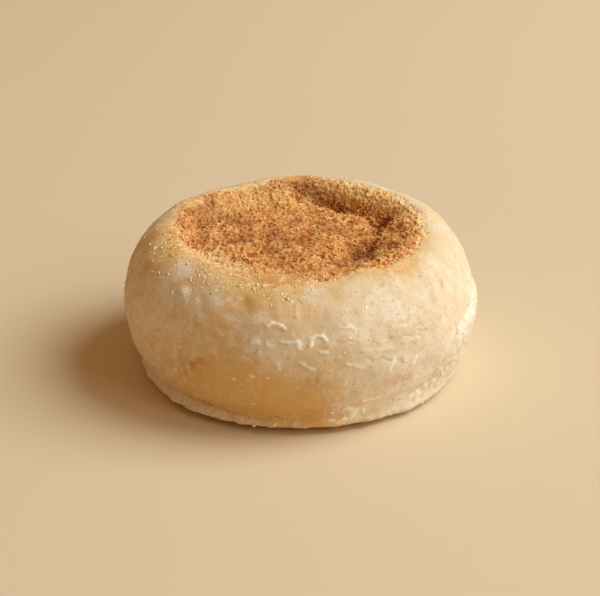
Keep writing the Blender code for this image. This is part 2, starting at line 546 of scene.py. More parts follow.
@dataclass(frozen=True)
class Finish:
    """What every finish shares: a name, a roughness and how much light goes through its surface."""

    name: str
    roughness: float
    glow: float = 0.0
    glow_reach: float = 1.2 * MM
    gloss: float = 0.35

    def start(self, groups: SharedGroups) -> Coat:
        """Makes the material with its plain values set.

        Args:
            groups: The shared patterns.

        Returns:
            The material's coat, to be coloured.
        """
        material = bpy.data.materials.new(self.name)
        material.use_nodes = True
        coat = Coat(material, groups)
        coat.shader.inputs["Roughness"].default_value = self.roughness
        coat.shader.inputs["Specular IOR Level"].default_value = self.gloss
        coat.shader.inputs["Subsurface Weight"].default_value = self.glow
        coat.shader.inputs["Subsurface Radius"].default_value = (1.0, 0.55, 0.3)
        coat.shader.inputs["Subsurface Scale"].default_value = self.glow_reach
        return coat


@dataclass(frozen=True)
class CrustFinish(Finish):
    """The skin: cream and tan dough, flour, freckles, and a golden halo that browns into the crumb."""

    cream: Colour = (0.83, 0.66, 0.45)
    tan: Colour = (0.80, 0.54, 0.26)
    golden: Colour = (0.83, 0.54, 0.21)
    honey: Colour = (0.78, 0.485, 0.165)
    flour: Colour = (0.92, 0.84, 0.70)
    dusted: Colour = (0.98, 0.93, 0.82)
    shade: Colour = (0.66, 0.45, 0.22)
    freckle: Colour = (0.46, 0.26, 0.10)
    speck: Colour = (0.80, 0.50, 0.18)
    halo: Colour = (0.88, 0.60, 0.27)
    toast: Colour = (0.74, 0.38, 0.13)
    toast_dark: Colour = (0.66, 0.30, 0.09)
    scorch: Colour = (0.62, 0.31, 0.08)
    # Painted shade for the creases and the fold.
    crease: Colour = (0.66, 0.45, 0.22)

    def dough(self, coat: Coat) -> Socket:
        """The colour of the bare dough, from cream to tan with golden blotches.

        Args:
            coat: The coat of the material.

        Returns:
            The dough's colour.
        """
        tan = coat.mark(Mark.TAN)
        clouds = coat.mottle(Scale=95.0, Detail=4.0, Low=0.34, High=0.68)
        share = coat.times(tan, coat.plus(coat.times(clouds, 0.55), 0.45))
        colour = coat.blend(coat.plus(share, coat.times(clouds, 0.12)), self.cream, self.tan)
        blotch = coat.mottle(Scale=270.0, Detail=7.0, Low=0.5, High=0.7, Shift=0.31)
        share = coat.plus(coat.times(tan, 0.5), 0.14)
        colour = coat.blend(coat.times(blotch, share), colour, self.golden)
        share = coat.plus(coat.times(clouds, 0.4), 0.75)
        return coat.blend(coat.times(coat.between(tan, 0.5, 1.0), share), colour, self.honey)

    def specks(self, coat: Coat, colour: Socket) -> Socket:
        """Adds the fine grain, the freckles and the clusters of golden specks to a colour.

        Args:
            coat: The coat of the material.
            colour: The colour so far.

        Returns:
            The colour with its specks.
        """
        grain = coat.mottle(Scale=1000.0, Detail=4.0, Low=0.42, High=0.7)
        colour = coat.blend(coat.times(grain, 0.26), colour, self.shade)
        dots = coat.flecks(Scale=640.0, Radius=0.26, Share=0.45)
        colour = coat.blend(coat.times(dots, 0.6), colour, self.freckle)
        cluster = coat.mottle(Scale=120.0, Detail=2.0, Low=0.5, High=0.62, Shift=0.57)
        dots = coat.flecks(Scale=560.0, Radius=0.38, Share=0.36)
        return coat.blend(coat.times(dots, coat.times(cluster, 0.7)), colour, self.speck)

    def browned(self, coat: Coat, colour: Socket) -> Socket:
        """Browns a colour toward the toasted crumb: golden first, then orange brown in patches.

        Args:
            coat: The coat of the material.
            colour: The colour so far.

        Returns:
            The browned colour.
        """
        ragged = coat.plus(coat.mottle(Scale=420.0, Detail=6.0, Low=0.3, High=0.7), 0.4)
        share = coat.times(coat.mark(Mark.TOAST), ragged)
        colour = coat.blend(coat.between(share, 0.02, 0.5), colour, self.halo)
        patches = coat.mottle(Scale=230.0, Detail=5.0, Low=0.4, High=0.66, Shift=0.17)
        toast = coat.blend(patches, self.toast, self.toast_dark)
        return coat.blend(coat.between(share, 0.36, 0.86), colour, toast)

    def make(self, groups: SharedGroups) -> bpy.types.Material:
        """Builds the material.

        Args:
            groups: The shared patterns.

        Returns:
            The material.
        """
        coat = self.start(groups)
        flour = coat.mark(Mark.FLOUR)
        colour = coat.blend(coat.times(flour, 0.64), self.dough(coat), self.flour)
        bias = coat.times(flour, 0.3)
        dust = coat.mottle(Scale=330.0, Detail=9.0, Low=0.52, High=0.78, Shift=0.73, Bias=bias)
        colour = coat.blend(coat.times(dust, 0.5), colour, self.flour)
        colour = self.specks(coat, colour)
        colour = coat.blend(coat.mark(Mark.SCORCH), colour, self.scorch)
        # Darkens the creases and the fold as painted shade.
        colour = coat.blend(coat.mark(Mark.CREASE), colour, self.crease)
        colour = self.browned(coat, colour)
        broken = coat.mottle(Scale=900.0, Detail=3.0, Low=0.25, High=0.55)
        share = coat.times(coat.between(coat.mark(Mark.WISP), 0.25, 0.7), broken)
        coat.grit(scale=1500.0, roughness=0.65, strength=0.4, reach=0.25 * MM)
        return coat.coloured(coat.blend(share, colour, self.dusted))


@dataclass(frozen=True)
class CrumbFinish(Finish):
    """The toasted crumb: painted light on its ridges and tips, painted shade in its gaps, golden on its
    walls, and char with painted shade in its hollows.
    """

    # Colours by the crumb's height: the tip is a painted highlight and the ridge is painted light.
    tip_highlight: Colour = (0.97, 0.70, 0.40)
    ridge_lit: Colour = (0.90, 0.53, 0.20)
    body: Colour = (0.75, 0.335, 0.098)
    # Painted shade in the crumb's gaps, as for the gaps of the golden walls and the rim below.
    gap: Colour = (0.41, 0.13, 0.028)
    ruddy: Colour = (0.56, 0.21, 0.054)
    gold: Colour = (0.89, 0.585, 0.245)
    gold_gap_shade: Colour = (0.78, 0.47, 0.17)
    rim: Colour = (0.93, 0.66, 0.34)
    rim_gap_shade: Colour = (0.78, 0.46, 0.18)
    dough: Colour = (0.88, 0.69, 0.43)
    # Char brown, which in the hollows also stands in as painted shade.
    char: Colour = (0.23, 0.058, 0.010)

    def make(self, groups: SharedGroups) -> bpy.types.Material:
        """Builds the material.

        Args:
            groups: The shared patterns.

        Returns:
            The material.
        """
        coat = self.start(groups)
        height = coat.mark(Mark.CRUMB)
        patches = coat.mottle(Scale=190.0, Detail=5.0, Low=0.42, High=0.68, Shift=0.17)
        body = coat.blend(coat.times(patches, 0.75), self.body, self.ruddy)
        # Painted shade in the gaps, then painted light on the ridges and tips, by the crumb's height.
        colour = coat.blend(coat.between(height, 0.12, 0.5), self.gap, body)
        colour = coat.blend(coat.between(height, 0.42, 0.85), colour, self.ridge_lit)
        colour = coat.blend(coat.between(height, 0.8, 1.0), colour, self.tip_highlight)
        # Golden walls by height, with painted shade in their gaps; on the right wall the gold is partly
        # painted light.
        gold = coat.blend(coat.between(height, 0.0, 0.6), self.gold_gap_shade, self.gold)
        colour = coat.blend(coat.times(coat.mark(Mark.GOLD_AND_LIGHT), 0.72), colour, gold)
        toast = coat.mark(Mark.TOAST)
        # The rim too: painted shade in its gaps and painted light on its ridges, by height.
        rim = coat.blend(coat.between(height, 0.1, 0.6), self.rim_gap_shade, self.rim)
        rim = coat.blend(coat.between(toast, 0.08, 0.45), self.dough, rim)
        colour = coat.blend(coat.between(toast, 0.45, 0.85), rim, colour)
        coat.grit(scale=2200.0, roughness=0.55, strength=0.25, reach=0.12 * MM)
        # Darkens the spots toward char: char of the toast and, in the hollows, painted shade.
        return coat.coloured(coat.blend(coat.mark(Mark.CHAR_AND_SHADE), colour, self.char))


@dataclass(frozen=True)
class GrainFinish(Finish):
    """Loose grains and crumbs, each with its own tint, golden where the skin under them is golden or carries
    painted light, darker where it is charred or carries painted shade.
    """

    pale: Colour = (0.98, 0.75, 0.42)
    deep: Colour = (0.82, 0.44, 0.16)
    # Darker where the skin under the grain is charred or holds painted shade.
    char: Colour = (0.26, 0.08, 0.02)
    # Golden where the skin under the grain is golden, which on the right wall is partly painted light.
    gold: Colour = (0.92, 0.62, 0.27)

    def make(self, groups: SharedGroups) -> bpy.types.Material:
        """Builds the material.

        Args:
            groups: The shared patterns.

        Returns:
            The material.
        """
        coat = self.start(groups)
        patches = coat.mottle(Scale=210.0, Detail=5.0, Low=0.38, High=0.68, Shift=0.17)
        share = coat.plus(coat.times(patches, 0.45), coat.times(coat.mark(Mark.TINT), 0.75))
        colour = coat.blend(share, self.pale, self.deep)
        colour = coat.blend(coat.times(coat.mark(Mark.GOLD_AND_LIGHT), 0.6), colour, self.gold)
        coat.grit(scale=5200.0, roughness=0.5, strength=0.2, reach=0.06 * MM)
        # Darkens grains over the char and the painted shade of the hollows.
        return coat.coloured(coat.blend(coat.mark(Mark.CHAR_AND_SHADE), colour, self.char))


@dataclass(frozen=True)
class FloorFinish(Finish):
    """A plain pale studio floor."""

    low: Colour = (0.766, 0.622, 0.434)
    high: Colour = (0.780, 0.634, 0.444)

    def make(self, groups: SharedGroups) -> bpy.types.Material:
        """Builds the material, with a faint unevenness.

        Args:
            groups: The shared patterns.

        Returns:
            The material.
        """
        coat = self.start(groups)
        clouds = coat.mottle(Scale=3.0, Detail=2.0, Low=0.3, High=0.7)
        return coat.coloured(coat.blend(clouds, self.low, self.high))


# ---------------------------------------------------------------- the skin


@dataclass(frozen=True)
class Zone:
    """A soft zone of the muffin's sides: its middle, its spread in degrees and its strength there."""

    side: float
    spread: float
    strength: float = 1.0

    def at(self, angle: Array) -> Array:
        """How strong the zone is on each side."""
        return self.strength * hill(turn_between(angle, self.side), self.spread)


@dataclass(frozen=True)
class ToastEdge:
    """How far the rough crumb and its browning reach from the Z axis, with a bite on the front left."""

    reach: float = 29.8 * MM
    overlap: float = 1.0 * MM
    bite: float = 4.5 * MM
    bite_opens: tuple[float, float] = (176.0, 226.0)
    bite_closes: tuple[float, float] = (264.0, 284.0)
    dent: Zone = Zone(296.0, 14.0, 2.0 * MM)
    softness: float = 4.4 * MM
    border: float = 2.6 * MM
    wobble: float = 1.5 * MM
    golden_opens: tuple[float, float] = (182.0, 208.0)
    golden_closes: tuple[float, float] = (230.0, 256.0)
    golden_share: float = 0.40
    golden_from: float = 19.0 * MM
    left_wall_opens: tuple[float, float] = (90.0, 102.0)
    left_wall_closes: tuple[float, float] = (138.0, 164.0)
    left_wall_share: float = 0.7
    # The right wall's gold is partly painted light where the rim's shadow falls on it.
    right_lit_wall: float = 45.0
    right_lit_wall_spread: float = 50.0
    fade: float = 5.4 * MM
    bulges: tuple[Zone, ...] = (
        Zone(90.0, 10.0, 6.0 * MM),
        Zone(150.0, 22.0, 3.4 * MM),
        Zone(198.0, 24.0, 4.4 * MM),
        Zone(250.0, 18.0, 3.4 * MM),
        Zone(273.0, 13.0, 1.4 * MM),
        Zone(313.0, 14.0, 1.6 * MM),
        Zone(300.0, 9.0, -1.6 * MM),
        Zone(335.0, 20.0, 1.3 * MM),
        Zone(45.0, 8.0, 1.0 * MM),
    )

    def rough_reach(self, angle: Array) -> Array:
        """How far the rough crumb reaches on each side."""
        bite = self.bite * window(angle, self.bite_opens, self.bite_closes)
        return self.reach + self.overlap - bite - self.dent.at(angle)

    def brown_reach(self, angle: Array) -> Array:
        """How far out the skin is still half browned on each side."""
        return self.reach + sum(bulge.at(angle) for bulge in self.bulges)

    def browning(self, angle: Array, reach: Array) -> Array:
        """How brown the skin is, from 1 by the crumb to 0 on the bare dough, and only golden in the bite.

        Args:
            angle: Each place's side.
            reach: Each place's distance from the Z axis, a little frayed.

        Returns:
            A share for each place.
        """
        brown = short_of(reach, self.brown_reach(angle) + self.fade / 2.0, self.fade)
        golden = window(angle, self.golden_opens, self.golden_closes)
        golden *= past(reach, self.golden_from, 4.0 * MM)
        return np.minimum(brown, 1.0 - self.golden_share * golden)

    def golden_walls_and_painted_light(self, angle: Array, radius: Array) -> Array:
        """How golden the crumb is on the two walls at its back, left and right of the notch; on the right
        wall the gold is partly painted light over the rim's shadow.

        Args:
            angle: Each place's side.
            radius: Each place's distance from the Z axis.

        Returns:
            A share for each place.
        """
        left = window(angle, self.left_wall_opens, self.left_wall_closes)
        left *= window(radius, (20.5 * MM, 25.0 * MM), (29.0 * MM, 32.0 * MM))
        # Right wall: golden, and lightened as painted light where the rim shades it.
        right = short_of(np.abs(turn_between(angle, self.right_lit_wall)), self.right_lit_wall_spread, 12.0)
        right *= past(radius, 23.4 * MM, 3.0 * MM)
        return np.maximum(self.left_wall_share * left, right)


@dataclass(frozen=True)
class Seam:
    """The level of the seam above the lower lip, as the solid has it: low in front, high on the right."""

    low: float = 4.8 * MM
    drift: Zone = Zone(0.0, 70.0, 2.5 * MM)
    climb: Zone = Zone(0.0, 30.0, 4.0 * MM)
    step: float = 11.0 * MM
    step_starts: float = 46.0
    step_starts_back: float = 100.0
    step_ends: float = 28.0
    gone_opens: tuple[float, float] = (256.0, 276.0)
    gone_closes: tuple[float, float] = (298.0, 312.0)
    sag: float = 1.3 * MM
    sag_opens: tuple[float, float] = (222.0, 262.0)
    sag_closes: tuple[float, float] = (300.0, 318.0)

    def level(self, angle: Array) -> Array:
        """The seam's height on each side.

        Args:
            angle: The sides, in degrees.

        Returns:
            The height at each side.
        """
        turn = turn_between(angle, 0.0)
        starts = np.where(turn < 0.0, self.step_starts, self.step_starts_back)
        step = self.step * short_of(np.abs(turn), starts, starts - self.step_ends)
        return self.low + self.drift.at(angle) + step + self.climb.at(angle)

    def fold_level(self, angle: Array) -> Array:
        """The height of the fold's line, which sags toward the foot where it runs out at the front."""
        return self.level(angle) - self.sag * window(angle, self.sag_opens, self.sag_closes)

    def strength(self, angle: Array) -> Array:
        """How sharp the fold is on each side, from 0 at the front to 1."""
        return 1.0 - window(angle, self.gone_opens, self.gone_closes)


@dataclass(frozen=True)
class Zones:
    """Where the side is floury, golden, glowing and tan, and how much of each there is all round."""

    flour_all_round: float = 0.12
    flour_patches: float = 0.24
    flour_of_lip: float = 0.65
    flour_of_shoulder: float = 0.25
    floury_and_lit_right: Zone = Zone(318.0, 36.0)
    floury_left: Zone = Zone(214.0, 34.0, 0.48)
    bare_lip: Zone = Zone(266.0, 30.0, 0.7)
    bare_middle: Zone = Zone(262.0, 24.0, 0.25)
    golden_low: Zone = Zone(262.0, 22.0, 0.56)
    golden_left: Zone = Zone(244.0, 35.0, 0.72)
    golden_hem: Zone = Zone(293.0, 13.0, 0.6)
    golden_most: float = 0.85
    glow_right: Zone = Zone(318.0, 42.0)
    glow_left: Zone = Zone(222.0, 30.0, 0.25)
    glow_reach: float = 4.6 * MM
    tan_all_round: float = 0.08
    tan_patches: float = 0.22
    tan_of_foot: float = 0.85
    tan_of_glow: float = 0.9
    tan_left: Zone = Zone(212.0, 62.0, 0.3)
    tan_far_left: Zone = Zone(188.0, 24.0, 0.6)
    tan_shoulder: Zone = Zone(246.0, 28.0, 0.35)
    tan_back: Zone = Zone(100.0, 60.0, 0.35)
    tan_middle: Zone = Zone(264.0, 24.0, 0.2)

    def golden_foot(self, angle: Array, height: Array) -> Array:
        """How far each place is in the golden stretch above the foot, at the front left.

        Args:
            angle: Each place's side.
            height: Each place's height.

        Returns:
            A share for each place.
        """
        low = self.golden_low.at(angle) * short_of(height, 18.0 * MM, 10.0 * MM)
        left = self.golden_left.at(angle) * short_of(height, 27.0 * MM, 15.0 * MM)
        hem = self.golden_hem.at(angle) * short_of(height, 7.0 * MM, 3.0 * MM)
        return np.clip(low + left + hem, 0.0, self.golden_most)

    def glow(self, points: Array, angle: Array, brown_reach: Array) -> Array:
        """How strongly each place just outside the toast glows gold: most at the right and the left.

        Args:
            points: The places, one row each.
            angle: Each place's side.
            brown_reach: How far out each place's side is half browned.

        Returns:
            A share for each place.
        """
        outside = np.hypot(points[:, 0], points[:, 1]) - brown_reach
        near = hill(np.maximum(outside, 0.0), self.glow_reach) * past(points[:, 2], 26.0 * MM, 4.0 * MM)
        return near * np.maximum(self.glow_right.at(angle), self.glow_left.at(angle))

    def flour(self, points: Array, angle: Array, under: Array, glow: Array) -> Array:
        """How floury the skin is: most on the front right and the lip, less where it is golden; low on the
        right it is partly painted light.

        Args:
            points: The places, one row each.
            angle: Each place's side.
            under: The share of each place that is on the lip.
            glow: How strongly each place glows gold.

        Returns:
            A share for each place.
        """
        height = points[:, 2]
        patches = 1.2 * noise_at(points, 7.0 * MM, 5) + 0.9 * noise_at(points, 2.5 * MM, 6)
        left = self.floury_left.at(angle) * short_of(height, 33.0 * MM, 4.0 * MM)
        # More flour lower down on the right: real flour, and partly painted light where the key light reaches
        # little.
        low = short_of(height, 24.0 * MM, 10.0 * MM)
        right = self.flour_of_shoulder + (1.0 - self.flour_of_shoulder) * low
        right *= self.floury_and_lit_right.at(angle)
        lip = self.flour_of_lip * under * (1.0 - self.bare_lip.at(angle))
        share = self.flour_all_round + left + right + lip - self.bare_middle.at(angle)
        share += self.flour_patches * patches
        share *= 1.0 - 0.85 * self.golden_foot(angle, height) * (1.0 - under)
        return np.clip(share * (1.0 - 0.8 * glow), 0.0, 1.0)

    def tan(self, points: Array, angle: Array, glow: Array) -> Array:
        """How tan the dough is: most on its left, toward its foot at the front, and round the toast.

        Args:
            points: The places, one row each.
            angle: Each place's side.
            glow: How strongly each place glows gold.

        Returns:
            A share for each place.
        """
        height = points[:, 2]
        left = self.tan_left.at(angle) + self.tan_far_left.at(angle)
        foot = self.tan_of_foot * self.golden_foot(angle, height) + self.tan_of_glow * glow
        shoulder = self.tan_shoulder.at(angle) * past(height, 22.0 * MM, 6.0 * MM)
        behind = self.tan_back.at(angle) + self.tan_middle.at(angle)
        uneven = self.tan_patches * noise_at(points, 11.0 * MM, 7)
        return np.clip(self.tan_all_round + left + foot + shoulder + behind + uneven, 0.0, 1.0)


@dataclass(frozen=True)
class Ledge:
    """A torn edge of the toasted floor: the skin drops on the left of its path, seen from above."""

    name: str
    path: Path
    depth: float
    reach: float = 2.8 * MM
    lip: float = 0.25 * MM
    drop: float = 1.1 * MM


@dataclass(frozen=True)
class Trace:
    """A crease or a spot on the side, along (side in degrees, level in millimetres) places."""

    name: str
    path: Path
    width: float
    height: float
    stain: float = 0.0


@dataclass(frozen=True)
class Spot:
    """A dark or ruddy place of the toasted crumb, along (x, y) places in millimetres; the dark ones in
    hollows are partly char and partly painted shade.
    """

    name: str
    path: Path
    spread: float
    strength: float

    def gap(self, points: Array) -> Array:
        """How far each point is from the spot, as seen from above."""
        return near_path(points[:, :2], np.array(self.path) * MM)[0]


LEDGES = (
    Ledge(
        "back edge of the floor",
        (
            (-0.3, 23.8),
            (1.3, 22.5),
            (5.3, 21.0),
            (8.5, 18.0),
            (13.0, 14.2),
            (16.0, 11.8),
            (17.5, 9.0),
            (19.0, 5.0),
        ),
        1.7 * MM,
        3.0 * MM,
    ),
    Ledge("front edge of the pit", ((25.4, 3.2), (22.6, 3.1), (20.3, 2.3), (19.4, 3.8)), 1.6 * MM),
    Ledge(
        "floor edge at the front hollow",
        ((20.2, -1.8), (18.2, -0.5), (15.9, -2.0), (13.5, -5.4), (12.2, -9.1), (12.3, -12.7)),
        1.9 * MM,
    ),
    Ledge("left edge of the notch", ((0.7, 23.8), (-0.4, 26.7), (-0.9, 31.1)), 1.5 * MM, 2.4 * MM),
)

# Creases of the side; each one's stain darkens it as painted shade.
CREASES = (
    Trace(
        "smile", ((249.0, 22.3), (250.5, 21.9), (252.0, 22.0), (255.0, 21.2), (256.5, 19.6)), 0.34, -0.15, 0.3
    ),
    Trace("faint arc", ((232.0, 26.6), (234.0, 26.3), (236.0, 25.3), (238.0, 25.1)), 0.4, -0.1, 0.1),
    Trace("second faint arc", ((236.0, 25.0), (238.0, 25.9), (241.0, 26.0)), 0.4, -0.1, 0.1),
    Trace("upper wrinkle", ((300.0, 24.7), (304.0, 24.5), (310.0, 25.2), (318.0, 24.6)), 0.42, -0.2, 0.22),
    Trace("middle wrinkle", ((295.0, 22.9), (300.0, 23.6), (306.0, 23.4), (311.0, 22.4)), 0.42, -0.2, 0.22),
    Trace("short wrinkle", ((302.0, 26.4), (306.0, 26.7), (311.0, 27.4)), 0.38, -0.16, 0.16),
    Trace("lower wrinkle", ((289.0, 20.4), (293.0, 19.7), (298.0, 19.0), (302.0, 18.2)), 0.38, -0.18, 0.26),
    Trace("left wrinkle", ((279.0, 25.4), (284.0, 25.0), (292.0, 23.1)), 0.4, -0.12, 0.1),
    Trace(
        "right crease",
        ((312.0, 6.2), (314.0, 6.8), (318.0, 7.7), (324.0, 8.3), (325.0, 9.9), (329.0, 11.4), (333.0, 13.1)),
        0.4,
        -0.3,
        0.35,
    ),
    Trace("fine crease", ((312.0, 4.4), (313.5, 5.6), (316.0, 6.0)), 0.3, -0.14, 0.2),
    Trace("second fine crease", ((315.5, 4.6), (317.0, 5.8), (319.0, 6.4)), 0.3, -0.14, 0.2),
    Trace("wrinkle at the back", ((62.0, 21.0), (70.0, 22.3), (79.0, 21.6), (84.0, 20.4)), 0.4, -0.2, 0.2),
    Trace("second wrinkle at the back", ((120.0, 15.0), (128.0, 16.4), (135.0, 15.8)), 0.4, -0.18, 0.2),
    Trace("arc at the left", ((168.0, 23.8), (173.0, 24.9), (179.0, 24.6), (183.0, 23.2)), 0.4, -0.15, 0.15),
)

SWELLINGS = (
    Trace("floury bump", ((225.0, 30.4),), 1.6, 0.8),
    Trace("dent of the left shoulder", ((249.0, 31.6),), 1.7, -0.4, 0.12),
    Trace("dent by the bump", ((233.0, 30.5),), 1.5, -0.25),
    Trace("blister at the front", ((262.0, 30.6),), 1.3, 0.2),
    Trace("ridge of the left", ((229.0, 28.6), (238.0, 25.4), (247.0, 23.6)), 1.9, 0.26),
    Trace("valley of the left", ((233.0, 24.0), (240.0, 21.6), (248.0, 20.4)), 1.9, -0.2),
    Trace("roll over the scorch", ((231.0, 17.0), (237.0, 19.2)), 1.3, 0.22),
    Trace("hollow of the scorch", ((233.5, 14.8), (238.0, 17.0)), 0.9, -0.22),
    Trace("blister at the back", ((100.0, 27.5),), 1.9, 0.3),
    Trace("dent at the back", ((56.0, 13.0),), 2.2, -0.3),
    Trace("blister at the left", ((150.0, 19.0),), 1.6, 0.25),
)

SCORCHES = (
    Trace("scorched roll", ((233.5, 15.2), (236.0, 16.6), (238.0, 17.4)), 1.0, 0.0, 0.9),
    Trace("glow round the scorch", ((231.0, 15.2), (240.0, 16.6)), 2.4, 0.0, 0.32),
    Trace("gold spot", ((275.0, 15.9),), 0.8, 0.0, 0.85),
    Trace("glow under the gold spot", ((272.0, 14.5), (281.0, 14.0)), 1.6, 0.0, 0.3),
    Trace("gold stain", ((298.0, 13.0), (306.0, 12.6)), 1.5, 0.0, 0.32),
    Trace("spot under the rim", ((303.0, 33.5),), 0.45, 0.0, 0.7),
    Trace("second spot under the rim", ((309.0, 35.0),), 0.45, 0.0, 0.5),
    Trace("spot of the right shoulder", ((327.0, 30.4),), 0.45, 0.0, 0.8),
    Trace("stain at the foot", ((268.0, 6.0), (280.0, 7.5)), 3.0, 0.0, 0.25),
    Trace("spot at the back", ((110.0, 12.0),), 1.0, 0.0, 0.5),
    Trace("roll at the back", ((40.0, 9.5), (48.0, 8.8)), 1.4, 0.0, 0.4),
    Trace("spot at the left", ((160.0, 14.0),), 1.0, 0.0, 0.4),
)

FLOURED = (
    Trace("bump", ((225.0, 30.4),), 2.0, 0.0, 1.0),
    Trace("left shoulder", ((214.0, 34.6), (220.0, 33.6)), 1.8, 0.0, 0.55),
    Trace("right of the bump", ((229.0, 31.6), (236.0, 31.8)), 2.2, 0.0, 0.6),
    Trace("right of the middle", ((287.0, 19.0), (293.0, 18.0)), 3.4, 0.0, 0.45),
    Trace("dust over the lip", ((319.0, 9.4), (329.0, 9.0)), 2.4, 0.0, 0.6),
    Trace("under the bump", ((222.0, 28.6), (232.0, 28.6)), 2.0, 0.0, 0.5),
    Trace("by the bump", ((238.0, 31.6), (241.0, 30.6)), 1.2, 0.0, 0.7),
    Trace("upper right", ((273.0, 33.8), (277.0, 34.0)), 1.5, 0.0, 0.45),
    Trace("right shoulder", ((296.0, 30.0), (304.0, 29.2)), 2.6, 0.0, 0.3),
    Trace("blots at the foot", ((283.0, 7.5), (287.0, 5.0), (291.0, 3.4)), 1.2, 0.0, 0.8),
    Trace("band over the crease", ((313.0, 9.2), (318.0, 12.0), (325.0, 17.8), (331.0, 18.2)), 1.5, 0.0, 1.0),
    Trace("band by the lip", ((334.0, 21.0), (346.0, 22.5)), 1.4, 0.0, 0.6),
    Trace("drift under the smile", ((256.0, 24.0), (262.0, 22.0), (268.0, 24.0)), 2.2, 0.0, 0.75),
    Trace("patch on the left shoulder", ((251.0, 28.4), (256.0, 29.0)), 1.3, 0.0, 0.7),
    Trace("drift at the back", ((75.0, 25.0), (90.0, 23.0)), 3.0, 0.0, 0.6),
)

WISPS = (
    Trace("long curl", ((259.0, 28.0), (261.0, 28.5), (263.0, 28.4), (265.0, 27.7)), 0.42, 0.2, 1.0),
    Trace("hook", ((264.0, 25.1), (267.0, 24.9), (269.0, 25.2)), 0.36, 0.16, 0.8),
    Trace("blot of the hook", ((269.2, 25.0), (269.4, 24.0)), 0.7, 0.22, 1.0),
    Trace("ring", ((273.0, 24.4), (273.4, 25.6), (275.0, 26.4), (277.0, 26.2), (278.0, 25.3)), 0.4, 0.2, 0.9),
    Trace("blot of the ring", ((273.0, 24.5), (273.2, 25.0)), 0.62, 0.2, 1.0),
    Trace("dash under the ring", ((276.0, 22.9), (278.0, 22.8)), 0.5, 0.16, 0.8),
    Trace("comma", ((263.0, 20.3), (263.6, 19.3)), 0.6, 0.2, 1.0),
    Trace("slanting streak", ((270.0, 20.5), (272.0, 19.6), (274.0, 18.9)), 0.44, 0.16, 0.9),
    Trace("left blot", ((255.0, 24.5), (256.4, 24.4)), 0.62, 0.18, 0.9),
    Trace("small blot", ((259.4, 24.6), (260.2, 24.0)), 0.5, 0.16, 0.9),
    Trace("second streak", ((284.0, 19.8), (287.0, 18.8), (289.0, 18.4)), 0.46, 0.14, 0.7),
    Trace("arc", ((284.0, 27.4), (286.0, 27.8), (287.4, 27.0)), 0.4, 0.14, 0.6),
    Trace("tuft", ((299.4, 18.4), (298.4, 17.6), (297.8, 16.6)), 0.75, 0.2, 0.8),
    Trace("wave at the right", ((302.0, 25.4), (306.0, 25.8), (310.0, 27.0), (316.0, 27.4)), 0.5, 0.14, 0.34),
    Trace("second wave", ((300.0, 24.0), (304.0, 24.6), (309.0, 24.6), (313.0, 23.8)), 0.6, 0.14, 0.34),
    Trace("third wave", ((303.0, 22.3), (307.0, 21.9), (312.0, 22.4)), 0.5, 0.12, 0.3),
    Trace("fourth wave", ((290.0, 21.4), (294.0, 21.9), (299.0, 21.4)), 0.5, 0.12, 0.3),
    Trace("blot at the foot", ((285.0, 7.0), (287.0, 6.0), (289.0, 6.2)), 0.75, 0.2, 1.0),
    Trace("hook at the foot", ((286.0, 6.2), (288.0, 5.0), (287.0, 4.2)), 0.6, 0.18, 1.0),
    Trace("low blot at the foot", ((281.0, 3.4), (283.0, 3.0), (285.0, 3.8)), 0.65, 0.2, 1.0),
    Trace("dash by the foot", ((291.0, 5.6), (291.6, 4.4)), 0.6, 0.16, 0.8),
    Trace("frill of the foot", ((290.0, 8.6), (294.0, 8.2), (299.0, 8.8)), 0.5, 0.14, 0.7),
    Trace("streak at the shoulder", ((246.0, 32.4), (248.0, 32.0)), 0.5, 0.12, 0.6),
)

# Dark spots of the crumb: the ruddy patches are its own colour; the dark ones in the pit, the crevice and the
# hollows are partly char and partly painted shade.
CHARRED_AND_SHADED = (
    Spot("pit", ((20.2, 6.6), (21.0, 10.8)), 2.2, 1.0),
    Spot("foot of the pit", ((20.2, 4.4), (20.6, 7.6)), 1.8, 0.88),
    Spot("back of the rim", ((-3.8, 29.0), (0.4, 28.4)), 2.2, 0.32),
    Spot("crevice", ((0.2, 28.4), (3.0, 26.6), (6.6, 24.4), (10.6, 21.6)), 1.3, 0.6),
    Spot("back of the front hollow", ((14.2, -4.6), (12.8, -9.0)), 1.7, 0.9),
    Spot("front hollow", ((15.0, -10.2), (16.2, -6.4)), 2.4, 0.95),
    Spot("right of the front hollow", ((20.6, -7.5), (22.6, -11.0)), 3.2, 0.34),
    Spot("dimple of the front edge", ((12.7, -12.6), (14.0, -11.0)), 1.7, 0.85),
    Spot("foot of the front hollow", ((17.0, -16.8), (17.4, -13.6)), 1.9, 0.9),
    Spot("little hollow", ((9.6, -15.4), (11.4, -18.6)), 1.8, 0.8),
    Spot("left dip", ((-20.0, 14.0), (-14.0, 8.0)), 2.6, 0.48),
    Spot("left edge", ((-23.6, 17.0), (-25.6, 8.0)), 3.2, 0.45),
    Spot("ruddy patch at the left", ((-12.6, -0.6), (-13.2, -3.6), (-16.0, -3.6)), 2.2, 0.5),
    Spot("ruddy patch at the front left", ((-8.4, -8.6), (-5.8, -10.6), (-3.2, -11.8)), 2.0, 0.42),
    Spot("ruddy patch at the front", ((-4.4, -16.0), (-4.8, -17.6)), 2.0, 0.36),
    Spot("ruddy patch of the floor", ((2.0, 1.5), (7.0, 3.0)), 2.6, 0.24),
    Spot("ruddy plateau", ((6.0, 5.0), (10.0, 2.4), (13.0, 1.0)), 3.2, 0.42),
    Spot("ruddy back of the floor", ((-2.0, 9.0), (5.0, 8.0)), 3.0, 0.26),
    Spot("glaze of the front edge", ((-11.0, -22.6), (-5.0, -24.2), (2.0, -24.4)), 1.7, 0.24),
    Spot("ruddy middle", ((-7.0, 2.0), (-5.6, -3.2), (0.0, -4.4)), 3.0, 0.52),
    Spot("pinhole", ((10.0, -7.4),), 0.35, 1.0),
)


